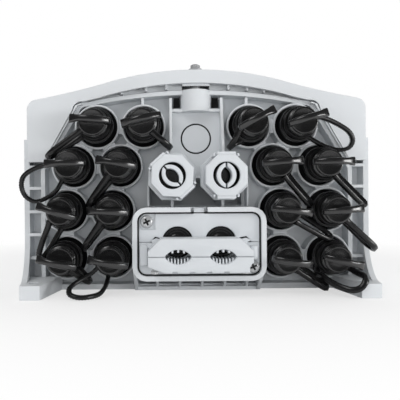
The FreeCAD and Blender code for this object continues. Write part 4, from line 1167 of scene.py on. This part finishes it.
@dataclass
class CableEntry:
    """Entry plates, their gasket, plugs and screws, and the toothed clamp bars in front.

    Attributes:
        half_width: Half the width of the room in the frame.
        low: Its lower edge.
        high: Its upper edge.
        corner: Its corner radius.
        rim: Gap for the gasket round the plates.
        gasket_rows: Inset and Y of the gasket's corners.
        split: Z where the plates meet.
        joint: Half the gap between them.
        way_x: X of the right cable way.
        way_r: Radius of the cable ways.
        front: Y of the plates' front.
        back: Y of their back.
        bevel: Width of their bevel.
        slots: Corners of the left and right hook slots in the upper plate, with Z over the split.
        tongue: Half width and Z of the tongue at the upper plate's top.
        pad: Right and lower edge of the sunk screw pad.
        pad_sunk: How deep the pad lies.
        root: How deep the lower plate's blocks and hooks are rooted in it.
        blocks: Edges, corner radius and bevel of the blocks on the lower plate, as proud as the radius.
        hooks: Corners of the latch hooks on the lower plate.
        hook_proud: How far they stand out.
        post: X, Y and radius of the post on the lower plate.
        post_z: Z of its ends.
        seal_gap: Gap round the rubber block behind the plates.
        seal_back: Y of the block's back.
        plug: Radius and Y of the rings of a blank plug.
    """

    half_width: float = 37.8
    low: float = 12.3
    high: float = 51.2
    corner: float = 5.5
    rim: float = 0.95
    gasket_rows: Rows = ((0.0, -161.5), (0.0, -165.4), (0.3, -165.7),
                         (0.6, -165.7), (0.9, -165.4), (0.9, -161.5))
    split: float = 32.8
    joint: float = 0.08
    way_x: float = 13.2
    way_r: float = 9.6
    front: float = -165.5
    back: float = -161.5
    bevel: float = 0.45
    slots: tuple[Rows, Rows] = (((-29.8, 0.08), (-27.0, 3.4), (-24.0, 2.6), (-24.2, 0.08)),
                                ((24.4, 0.08), (24.2, 2.6), (29.0, 3.4), (32.2, 0.08)))
    tongue: Flat = (3.3, 53.8)
    pad: Flat = (-26.8, 40.6)
    pad_sunk: float = 1.0
    root: float = 0.5
    blocks: tuple[tuple[float, ...], ...] = ((-36.4, -31.6, 18.6, 31.6, 1.6, 0.6),
                                             (-31.9, -27.6, 29.2, 32.4, 1.2, 0.5))
    hooks: tuple[Rows, Rows] = (
        ((-29.4, 33.9), (-26.4, 35.4), (-22.2, 34.5), (-24.6, 33.4), (-25.4, 30.8), (-27.6, 30.8)),
        ((24.8, 34.5), (28.6, 35.4), (31.8, 33.9), (29.6, 33.2), (28.2, 30.8), (26.2, 30.8)),
    )
    hook_proud: float = 2.4
    post: Point = (33.4, -166.4, 2.3)
    post_z: Flat = (22.4, 30.6)
    seal_gap: float = 0.2
    seal_back: float = -136.0
    plug: Rows = ((9.4, -161.4), (9.4, -163.3), (8.9, -163.7), (7.6, -163.7), (7.3, -163.2), (6.4, -163.0),
                  (5.0, -163.4), (4.4, -163.9), (0.4, -164.0))

    def build(self) -> None:
        """Sets every piece of the entry, and the clamp and screws in front of it."""
        self.gasket()
        self.upper_plate()
        self.lower_plate()
        self.plugs()
        CableClamp(self.way_x, self.front).build()
        EntryScrews().build()

    def room(self, gap: float, radius: float) -> Outline:
        """Gives the outline of the room in the frame, made smaller.

        Args:
            gap: How much smaller it is all round.
            radius: Its corner radius.

        Returns:
            The outline.
        """
        edge = self.half_width - gap
        return rounded(-edge, edge, self.low + gap, self.high - gap, radius)

    def gasket(self) -> None:
        """Sets the rubber line round the plates."""
        outer = self.room(0.0, self.corner)
        loops = [level(inset(outer, step), y) for step, y in self.gasket_rows]
        Solid().turned(list(zip(*loops))).piece("gasket_line", SEAL, nodes=["entry_gasket"])

    def upper_plate(self) -> None:
        """Sets the upper plate with its tongue, hook slots and sunk screw pad."""
        edge = self.half_width - self.rim
        high = self.high - self.rim
        radius = self.corner - self.rim
        meet = self.split + self.joint
        left, right = ([(x, self.split + z) for x, z in slot] for slot in self.slots)
        half, tip = self.tongue
        side, sill = self.pad
        outline = [(-edge, meet), *left]
        for x in (-self.way_x, self.way_x):
            outline += arc((x, meet), self.way_r, 180.0, 0.0, 25)
        outline += [*right, (edge, meet), *arc((edge - radius, high - radius), radius, 0.0, 90.0, 7),
                    (half, high), (half, tip), (-half, tip), (-half, high),
                    (side, high), self.pad, (-edge, sill)]
        pad = [self.pad, (side, high)]
        pad += [*arc((radius - edge, high - radius), radius, 90.0, 180.0, 7), (-edge, sill)]
        upper = Solid().prism(outline, self.front, self.back, self.bevel)
        upper.prism(pad, self.front + self.pad_sunk, self.back, 0.05)
        upper.piece("upper_plate", FITTING, nodes=["entry_upper_plate"])

    def lower_plate(self) -> None:
        """Sets the lower plate with its blocks, latch hooks and post."""
        edge = self.half_width - self.rim
        low = self.low + self.rim
        radius = self.corner - self.rim
        meet = self.split - self.joint
        outline = [(-edge, meet), *arc((radius - edge, low + radius), radius, 180.0, 270.0, 7),
                   *arc((edge - radius, low + radius), radius, -90.0, 0.0, 7), (edge, meet)]
        for x in (self.way_x, -self.way_x):
            outline += arc((x, meet), self.way_r, 0.0, -180.0, 25)
        lower = Solid().prism(outline, self.front, self.back, self.bevel)
        for *edges, proud, bevel in self.blocks:
            lower.prism(rounded(*edges, proud), self.front - proud, self.front + self.root, bevel)
        for hook in self.hooks:
            lower.prism(list(hook), self.front - self.hook_proud, self.front + self.root, 0.3)
        x, y, thick = self.post
        ring = arc((x, y), thick, 0.0, 345.0, 24)
        lower.loft([[Vector((x, y, z)) for x, y in ring] for z in self.post_z])
        lower.piece("lower_plate", FITTING, nodes=["entry_lower_plate"])

    def plugs(self) -> None:
        """Sets the rubber block behind the plates and its two stepped blank plugs."""
        solid = Solid().prism(self.room(self.seal_gap, self.corner - 0.1), self.back, self.seal_back, 0.1)
        for x in (-self.way_x, self.way_x):
            solid = solid.joined(Solid().lathe(self.plug).placed(turn_at(x, self.split)))
        solid.piece("blank_plugs", SEAL, nodes=["entry_seal"])


@dataclass(frozen=True)
class Teeth:
    """Teeth along one edge of a lens hole.

    Attributes:
        places: Where they stand, from the middle of the hole.
        half: Half a tooth's width at its root.
        share: How far its tip stays from the split, as a share of the hole's height there.
        sunk: How far the teeth lie behind the clamp's front.
        rooted: How far a root is sunk in the bar.
        taper: Width of a tip as a share of its root.
        clear: Gap between the teeth and the plate behind them.
    """

    places: tuple[float, ...]
    half: float
    share: float
    sunk: float
    rooted: float = 0.9
    taper: float = 0.6
    clear: float = 1.0


@dataclass
class CableClamp:
    """Two clamp bars with a pair of toothed lens holes between them.

    Attributes:
        way_x: X of the right hole.
        plate: Y of the plate behind the bars.
        plate_gap: Gap between the plate and the bars.
        front: Y of the bars' front.
        split: Z where they meet.
        gap: Half the gap between them.
        lens_size: Half the length and half the height of the lens holes.
        lens_end: Least height of half a hole.
        nubs: Teeth in the upper bar.
        comb: Teeth in the lower bar.
        top: Corners of the upper bar's outline from left to right, without its split edge.
        ledge: Half widths and Z of the strip on the upper bar's top.
        ledge_y: Y of its front and back.
        end: Half the bars' length.
        foot: Half the length and Z of the lower bar's underside, and Z where its left corner starts.
        ticks: X of the nicks in the underside.
        nick: Half widths at a nick's mouth and floor, and its depth.
        notch: X, Z and radius of the room for the screw.
        bevel: Width of the bars' bevel.
    """

    way_x: float
    plate: float
    plate_gap: float = 0.05
    front: float = -181.0
    split: float = 25.3
    gap: float = 0.07
    lens_size: Flat = (7.8, 4.2)
    lens_end: float = 0.05
    nubs: Teeth = Teeth((-3.4, 0.0, 3.4), 0.8, 0.62, 0.6)
    comb: Teeth = Teeth((-5.7, -3.8, -1.9, 0.0, 1.9, 3.8, 5.7), 0.55, 0.3, 1.3)
    top: Rows = ((-31.0, 28.6), (-23.4, 36.0), (23.4, 36.0), (31.0, 28.6))
    ledge: tuple[float, ...] = (22.6, 22.2, 35.2, 36.15)
    ledge_y: Flat = (-179.8, -166.0)
    end: float = 31.0
    foot: Point = (21.0, 15.7, 19.6)
    ticks: tuple[float, ...] = (15.0, 5.0, -5.0, -15.0)
    nick: Point = (1.6, 1.3, 0.8)
    notch: Point = (32.8, 17.8, 4.25)
    bevel: float = 0.7

    def build(self) -> None:
        """Sets both bars."""
        back = self.plate - self.plate_gap
        meet = self.split + self.gap
        lens = [point for x in (self.way_x, -self.way_x) for point in self.lens(x, 1.0)]
        outline = [(-self.end, meet), *self.top, (self.end, meet), *lens]
        upper = Solid().prism(outline, self.front, back, self.bevel)
        upper.prism(wedge(0.0, *self.ledge), *self.ledge_y, 0.1)
        self.teeth(upper, 1.0, self.nubs)
        upper.piece("upper_bar", FITTING, nodes=["clamp_upper_bar"])
        meet = self.split - self.gap
        lens = [point for x in (-self.way_x, self.way_x) for point in reversed(self.lens(x, -1.0))]
        half, under, corner = self.foot
        x, z, radius = self.notch
        outline = [(self.end, meet), *arc((x, z), radius, 115.1, 205.0, 9), (half, under)]
        mouth, narrow, deep = self.nick
        for tick in self.ticks:
            start, *rest = wedge(tick, mouth, narrow, under, under + deep)
            outline += [*rest, start]
        outline += [(-half, under), (-self.end, corner), (-self.end, meet), *lens]
        lower = Solid().prism(outline, self.front, back, self.bevel)
        self.teeth(lower, -1.0, self.comb)
        lower.piece("lower_bar", FITTING, nodes=["clamp_lower_bar"])

    def lens_depth(self, along: float) -> float:
        """Gives half the height of a lens hole at one place along it."""
        half, height = self.lens_size
        return height * max(0.0, 1.0 - (along / half) ** 2) ** 0.8

    def lens(self, x: float, up: float) -> Outline:
        """Gives half of a lens hole along the bars' split, from right to left.

        Args:
            x: Middle of the hole.
            up: 1 for the upper half, -1 for the lower.

        Returns:
            The points.
        """
        half = self.lens_size[0]
        edge = self.split + up * self.gap
        places = spread(31, half, -half)
        return [(x + along, edge + up * max(self.lens_end, self.lens_depth(along))) for along in places]

    def teeth(self, bar: Solid, up: float, teeth: Teeth) -> None:
        """Adds the teeth of both lens holes to a bar.

        Args:
            bar: The bar.
            up: 1 for the upper bar, -1 for the lower.
            teeth: Their places and sizes.
        """
        for x in (-self.way_x, self.way_x):
            for along in teeth.places:
                root = self.split + up * (self.lens_depth(along) + teeth.rooted)
                tip = self.split + up * teeth.share * self.lens_depth(along)
                outline = wedge(x + along, teeth.half, teeth.half * teeth.taper, root, tip)
                bar.prism(outline, self.front + teeth.sunk, self.plate - teeth.clear, 0.15)


@dataclass
class EntryScrews:
    """Two pan-head screws with cross recesses.

    Attributes:
        places: X, Z and depth of the seats.
        turn: Turn of the cross in degrees.
        head: Radius and Y of the shank's and the head's rings.
        mouth: Half length and half width of the recess's arms, and Y, at its mouth.
        bottom: The same at its bottom.
        floor: Half length and half width of the black cross at its bottom, painted shade of the recess.
        recess_shade_y: Y of the floor's two faces.
        steps: Points round a screw.
    """

    places: tuple[Point, Point] = ((-32.0, 45.4, 0.9), (32.8, 17.8, 0.0))
    turn: float = 24.0
    head: Rows = ((1.6, -161.5), (1.6, -165.5), (4.0, -165.6), (4.0, -166.3), (3.7, -167.1), (2.8, -167.75))
    mouth: Point = (2.3, 0.62, -167.85)
    bottom: Point = (2.1, 0.5, -166.7)
    floor: Flat = (2.15, 0.52)
    recess_shade_y: Flat = (-166.95, -166.7)
    steps: int = 48

    def build(self) -> None:
        """Sets the screws, and black crosses at the bottom of their recesses as painted shade."""
        rings = [around(radius, y, self.steps) for radius, y in self.head]
        head = Solid().loft([*rings, self.cross(*self.mouth), self.cross(*self.bottom)])
        floor = Solid().loft([self.cross(*self.floor, y) for y in self.recess_shade_y])
        heads = Solid()
        recess_shades = Solid()
        for x, z, deep in self.places:
            place = turn_at(x, z, self.turn) @ Matrix.Translation((0.0, deep, 0.0))
            heads = heads.joined(head.placed(place))
            recess_shades = recess_shades.joined(floor.placed(place))
        heads.piece("cross_screws", STEEL, nodes=["entry_screws"])
        # Black crosses at the bottom of the recesses: painted shade, as the bright steel alone would keep
        # them light.
        recess_shades.piece("screw_recess_shades", ADAPTER, nodes=["entry_screws"])

    def cross(self, half_length: float, half_width: float, y: float) -> Loop:
        """Gives the outline of a cross about the Y axis, one point to each bearing.

        Args:
            half_length: Half the length of its arms.
            half_width: Half their width.
            y: Y of the outline.

        Returns:
            The points.
        """
        loop = []
        for way in around(1.0, y, self.steps):
            flat = max(abs(way.x), 1e-6)
            rise = max(abs(way.z), 1e-6)
            level_arm = min(half_length / flat, half_width / rise)
            upright_arm = min(half_length / rise, half_width / flat)
            radius = max(level_arm, upright_arm)
            loop.append(Vector((radius * way.x, y, radius * way.z)))
        return loop


# Cover and lock

@dataclass
class CoverLip:
    """Lip with fins on the cover, close behind its end band.

    Attributes:
        rim: Height of the panel rim's crest, and the radius of its arch.
        clear: Gap between the rim and the lip.
        tall: Height of the lip.
        thick: Its thickness.
        span: Nearest and furthest X of the lip on either side of the lock.
        front: Y of its front.
        bridge: Y of its front, and its gap, where it passes before the lock bolt.
        fins: X of the fins.
        fin: Half thickness, height and depth of a fin.
    """

    rim: Flat = (131.0, 354.0)
    clear: float = 0.8
    tall: float = 6.7
    thick: float = 1.2
    span: Flat = (9.0, 66.0)
    front: float = -136.5
    bridge: Flat = (-141.4, 2.6)
    fins: tuple[float, ...] = (-49.0, -33.0, -19.5, 21.5, 34.0, 45.0)
    fin: Point = (0.7, 5.0, 3.8)

    def height(self, x: float) -> float:
        """Gives the rim's height at one place."""
        crest, radius = self.rim
        return crest - radius + math.sqrt(radius ** 2 - x ** 2)

    def section(self, x: float, front: float, clear: float) -> Loop:
        """Gives the lip's section at one place.

        Args:
            x: The place.
            front: Y of the lip's front there.
            clear: Gap between the rim and the lip there.

        Returns:
            The section's corners.
        """
        low = self.height(x) + clear
        back = front + self.thick
        corners = ((front, low), (front, low + self.tall), (back, low + self.tall), (back, low))
        return [Vector((x, y, z)) for y, z in corners]

    def build(self) -> None:
        """Sets the lip and its fins."""
        near, far = self.span
        lip = Solid()
        for first, last, front, clear in ((-far, -near, self.front, self.clear), (-near, near, *self.bridge),
                                          (near, far, self.front, self.clear)):
            lip.loft([self.section(x, front, clear) for x in spread(25, first, last)])
        half, tall, deep = self.fin
        for x in self.fins:
            low = self.height(x) + self.clear + 0.2
            lip.prism(wedge(x, half, half, low, low + tall), self.front - deep, self.front + 0.2, 0.1)
        lip.piece("cover_lip", SHELL, "cover")


@dataclass
class PanelTrim:
    """Trim of the end panel: a strip along the rim's slanted sides, black sheets painted as shade in the
    recesses beside the lock boss, and a black ring painted as the shade of the knock-out's score.

    Attributes:
        strip: Outer and inner corners of the strip, as X and Z, from its foot to its top.
        strip_y: Y of the strip's front and back.
        shade_sheet: Nearest and furthest X, and lowest and highest Z, of the black sheets painted as shade in
            the recesses beside the lock boss.
        shade_sheet_y: Y of their front and back.
        score: Radius and Y of the corners of the black ring painted as shade in the knock-out's score.
        knock_out: Z of the knock-out's middle.
    """

    strip: tuple[tuple[Flat, Flat], ...] = (
        ((100.1, 84.2), (99.2, 84.2)), ((92.4, 96.9), (91.5, 96.9)), ((80.6, 117.8), (79.5, 117.8)),
        ((79.2, 121.0), (77.6, 121.0)), ((75.4, 122.6), (74.8, 121.6)),
    )
    strip_y: Flat = (-143.1, -139.5)
    shade_sheet: tuple[float, ...] = (10.6, 14.8, 119.8, 126.4)
    shade_sheet_y: Flat = (-137.2, -136.9)
    score: Rows = ((9.25, -136.4), (10.15, -136.4), (10.15, -135.7), (9.25, -135.7))
    knock_out: float = 99.3

    def build(self) -> None:
        """Sets the strip, the black sheets of painted shade beside the lock boss, and the black ring of
        painted shade in the score.
        """
        edging = Solid()
        shade_sheets = Solid()
        near, far = self.strip_y
        first, last, low, high = self.shade_sheet
        for side in Side:
            edging.loft([[Vector((side.value * x, y, z)) for (x, z), y in
                          ((outer, near), (inner, near), (inner, far), (outer, far))]
                         for outer, inner in self.strip])
            edges = sorted((side.value * first, side.value * last))
            # Black sheets in the recesses beside the lock boss: painted shade, since the panel behind them is
            # closed.
            shade_sheets.prism(rounded(*edges, low, high, 0.3), *self.shade_sheet_y, 0.05)
        edging.piece("rim_strip", SHELL)
        shade_sheets.piece("lock_shade_sheets", ADAPTER)
        # Black ring in the knock-out's score: painted shade of the groove.
        Solid().ring(self.score, 64).placed(turn_at(0.0, self.knock_out)).piece("knock_out_score_shade", ADAPTER)


@dataclass
class Lock:
    """Captive lock bolt: hexagon key head with a chamfered top over a washer collar.

    Attributes:
        y: Y of its axis.
        head: Radius and Z of the head's rows.
        collar: The same of the collar.
        shaft: The same of the shaft.
    """

    y: float = -135.0
    head: Rows = ((2.5, 149.0), (3.15, 148.5), (3.15, 146.1))
    collar: Rows = ((4.2, 146.1), (4.6, 145.8), (4.6, 145.2), (4.3, 145.1))
    shaft: Rows = ((3.0, 145.1), (3.0, 122.0), (2.2, 121.0))

    def build(self) -> None:
        """Sets the bolt's head, collar and shaft."""
        solid = Solid()
        for sides, rows in ((6, self.head), (32, self.collar), (32, self.shaft)):
            solid.loft([self.loop(sides, *row) for row in rows])
        solid.piece("lock_stud", STEEL, "lock", ["lock_bolt"])

    def loop(self, sides: int, radius: float, z: float) -> Loop:
        """Gives a level ring of points about the bolt's axis.

        Args:
            sides: How many points.
            radius: The ring's radius.
            z: Its height.

        Returns:
            The points.
        """
        ring = arc((0.0, self.y), radius, 0.0, 360.0 - 360.0 / sides, sides)
        return [Vector((x, y, z)) for x, y in ring]


@dataclass
class FrameDress:
    """Finishes and clean shading on the frame's own solids.

    Attributes:
        edge_angle: Angle from which an edge is crisp, in degrees.
        weld: Distance within which the solids' split corners are one, in metres.
    """

    edge_angle: float = 34.0
    weld: float = 0.00001

    def dress(self) -> None:
        """Gives every solid the finish of its slot, and clean smooth shading."""
        for row in frame["record"]["subparts"]:
            solid = frame["nodes"][row["node"]]
            solid.material_slots[0].material = SLOT_FINISHES[Slot(row["material_slot"])].material()
            self.soften(solid)
            LOG.info("%s takes %s", row["node"], row["material_slot"])

    def soften(self, solid: bpy.types.Object) -> None:
        """Smooths a solid's curved faces and keeps its edges crisp.

        Args:
            solid: The frame's solid.
        """
        data = solid.data
        data.attributes.remove(data.attributes["custom_normal"])
        data.shade_smooth()
        weld = solid.modifiers.new("weld", "WELD")
        weld.merge_threshold = self.weld
        split = solid.modifiers.new("creases", "EDGE_SPLIT")
        split.split_angle = math.radians(self.edge_angle)


# Studio

@dataclass
class Studio:
    """Pale floor and backdrop, soft lamps and the camera of the photograph.

    Attributes:
        camera_place: Where the camera stands, in metres.
        lens: Focal length in millimetres on a 36 mm sensor.
        shift: Sideways shift of the picture, in picture widths.
        roll: Turn of the picture in degrees.
        sky: Strength of the even light from all round.
        mirrored: Strength of the surroundings in reflections.
        lamp_aim: The point that the lamps face.
        floor_reach: How far the floor goes each way, and how high the backdrop stands, in metres.
        sweep: Radius of the curve between them.
        shadow_span: Distance from the box at which the floor's fade to plain white starts, and ends.
        shadow_white: How much of that white the floor has near the box.
    """

    camera_place: Point = (-0.0195, -0.485, 0.0587)
    lens: float = 47.05
    shift: Flat = (0.0825, 0.0)
    roll: float = 0.4
    sky: float = 0.7
    mirrored: float = 0.08
    lamp_aim: Point = (0.0, -0.1, 0.06)
    floor_reach: float = 3.0
    sweep: float = 0.8
    shadow_span: Flat = (0.2, 0.34)
    shadow_white: float = 0.6

    def build(self) -> None:
        """Sets camera, floor, lamps and world."""
        self.camera()
        self.floor()
        self.lamps()
        self.world()
        bpy.context.scene.view_settings.view_transform = "Standard"

    def camera(self) -> None:
        """Sets the camera at the photograph's angle."""
        data = bpy.data.cameras.new("photo_camera")
        data.lens = self.lens
        data.sensor_width = 36.0
        data.shift_x, data.shift_y = self.shift
        data.clip_start = 0.01
        rig = bpy.data.objects.new("photo_camera", data)
        rig.location = self.camera_place
        rig.rotation_euler = (math.radians(90.0), math.radians(self.roll), 0.0)
        bpy.context.scene.collection.objects.link(rig)
        bpy.context.scene.camera = rig

    def floor(self) -> None:
        """Lays a pale sweep: a floor that curves up into the backdrop."""
        far = self.floor_reach
        curve = arc((far - self.sweep, self.sweep), self.sweep, -90.0, 0.0, 13)
        points = [(side * far, y, z) for y, z in [(-far, 0.0), *curve, (far, far)] for side in (-1, 1)]
        faces = [(row, row + 1, row + 3, row + 2) for row in range(0, len(points) - 2, 2)]
        data = bpy.data.meshes.new("studio_sweep")
        data.from_pydata(points, [], faces)
        data.shade_smooth()
        data.materials.append(self.paper())
        sweep = bpy.data.objects.new("studio_sweep", data)
        bpy.context.scene.collection.objects.link(sweep)

    def paper(self) -> bpy.types.Material:
        """Builds the sweep's matt white, which takes the shadow near the box and is plain white further off.

        Returns:
            The material.
        """
        made = bpy.data.materials.new("studio_paper")
        made.use_nodes = True
        tree = made.node_tree
        shader = tree.nodes["Principled BSDF"]
        feed(tree, shader, {"Base Color": (0.9, 0.9, 0.9, 1.0), "Roughness": 0.9})
        place = add_node(tree, "ShaderNodeTexCoord").outputs["Object"]
        away = add_node(tree, "ShaderNodeVectorMath", {"operation": "LENGTH"}, {0: place}).outputs["Value"]
        near, far = self.shadow_span
        fade = add_node(tree, "ShaderNodeMapRange", values={
            "Value": away, "From Min": near, "From Max": far, "To Min": self.shadow_white}).outputs["Result"]
        white = add_node(tree, "ShaderNodeEmission").outputs["Emission"]
        share = maths(tree, "MULTIPLY", fade, self.seen(tree))
        sides = {"Fac": share, 1: shader.outputs["BSDF"], 2: white}
        blend = add_node(tree, "ShaderNodeMixShader", values=sides)
        feed(tree, tree.nodes["Material Output"], {"Surface": blend.outputs["Shader"]})
        return made

    def seen(self, tree: Tree) -> Socket:
        """Tells the rays that see the background from those that light the box.

        Args:
            tree: The tree to add to.

        Returns:
            A value of 1 for camera and transmission rays, and 0 for the rest.
        """
        path = add_node(tree, "ShaderNodeLightPath").outputs
        return maths(tree, "MAXIMUM", path["Is Camera Ray"], path["Is Transmission Ray"])

    def lamp(self, name: str, place: Point, size: Flat, power: float, glossy: bool = True) -> None:
        """Adds one soft oblong lamp that faces the port end.

        Args:
            name: The lamp's name.
            place: Where it hangs.
            size: Its width and height.
            power: Its power in watts.
            glossy: Whether glossy surfaces mirror it.
        """
        data = bpy.data.lights.new(name, "AREA")
        data.shape = "RECTANGLE"
        data.size, data.size_y = size
        data.energy = power
        holder = bpy.data.objects.new(name, data)
        holder.location = place
        holder.visible_glossy = glossy
        way = Vector(self.lamp_aim) - Vector(place)
        holder.rotation_euler = way.to_track_quat("-Z", "Y").to_euler()
        bpy.context.scene.collection.objects.link(holder)

    def lamps(self) -> None:
        """Hangs the key lamp high in front, a low wide one on the right, one behind and a front fill."""
        self.lamp("key_lamp", (-0.5, -0.75, 0.8), (0.4, 0.4), 2.1)
        self.lamp("glint_lamp", (0.95, -0.65, 0.08), (0.6, 0.3), 5.4)
        self.lamp("back_lamp", (0.3, 0.9, 0.9), (0.8, 0.8), 2.2)
        self.lamp("fill_lamp", (-0.02, -1.2, 0.09), (0.5, 0.4), 1.3, glossy=False)

    def world(self) -> None:
        """Sets an even sky that the camera sees as white and glossy surfaces see as dim."""
        world = bpy.data.worlds.new("studio_world")
        bpy.context.scene.world = world
        world.use_nodes = True
        tree = world.node_tree
        glossy = add_node(tree, "ShaderNodeLightPath").outputs["Is Glossy Ray"]
        dimmed = maths(tree, "MULTIPLY", glossy, self.sky - self.mirrored)
        light = maths(tree, "SUBTRACT", self.sky, dimmed)
        feed(tree, tree.nodes["Background"], {"Color": (1.0, 1.0, 1.0, 1.0),
                                              "Strength": maths(tree, "MAXIMUM", self.seen(tree), light)})


def main() -> None:
    """Builds every piece and the studio, in order."""
    logging.basicConfig(level=logging.INFO)
    ports = port_field()
    FrameDress().dress()
    for group in (Collars(), Adapters(), DustCaps(), Tethers()):
        group.build(ports)
    for group in (Glands(), CableEntry(), CoverLip(), PanelTrim(), Lock(), Studio()):
        group.build()


if __name__ == "__main__":
    main()
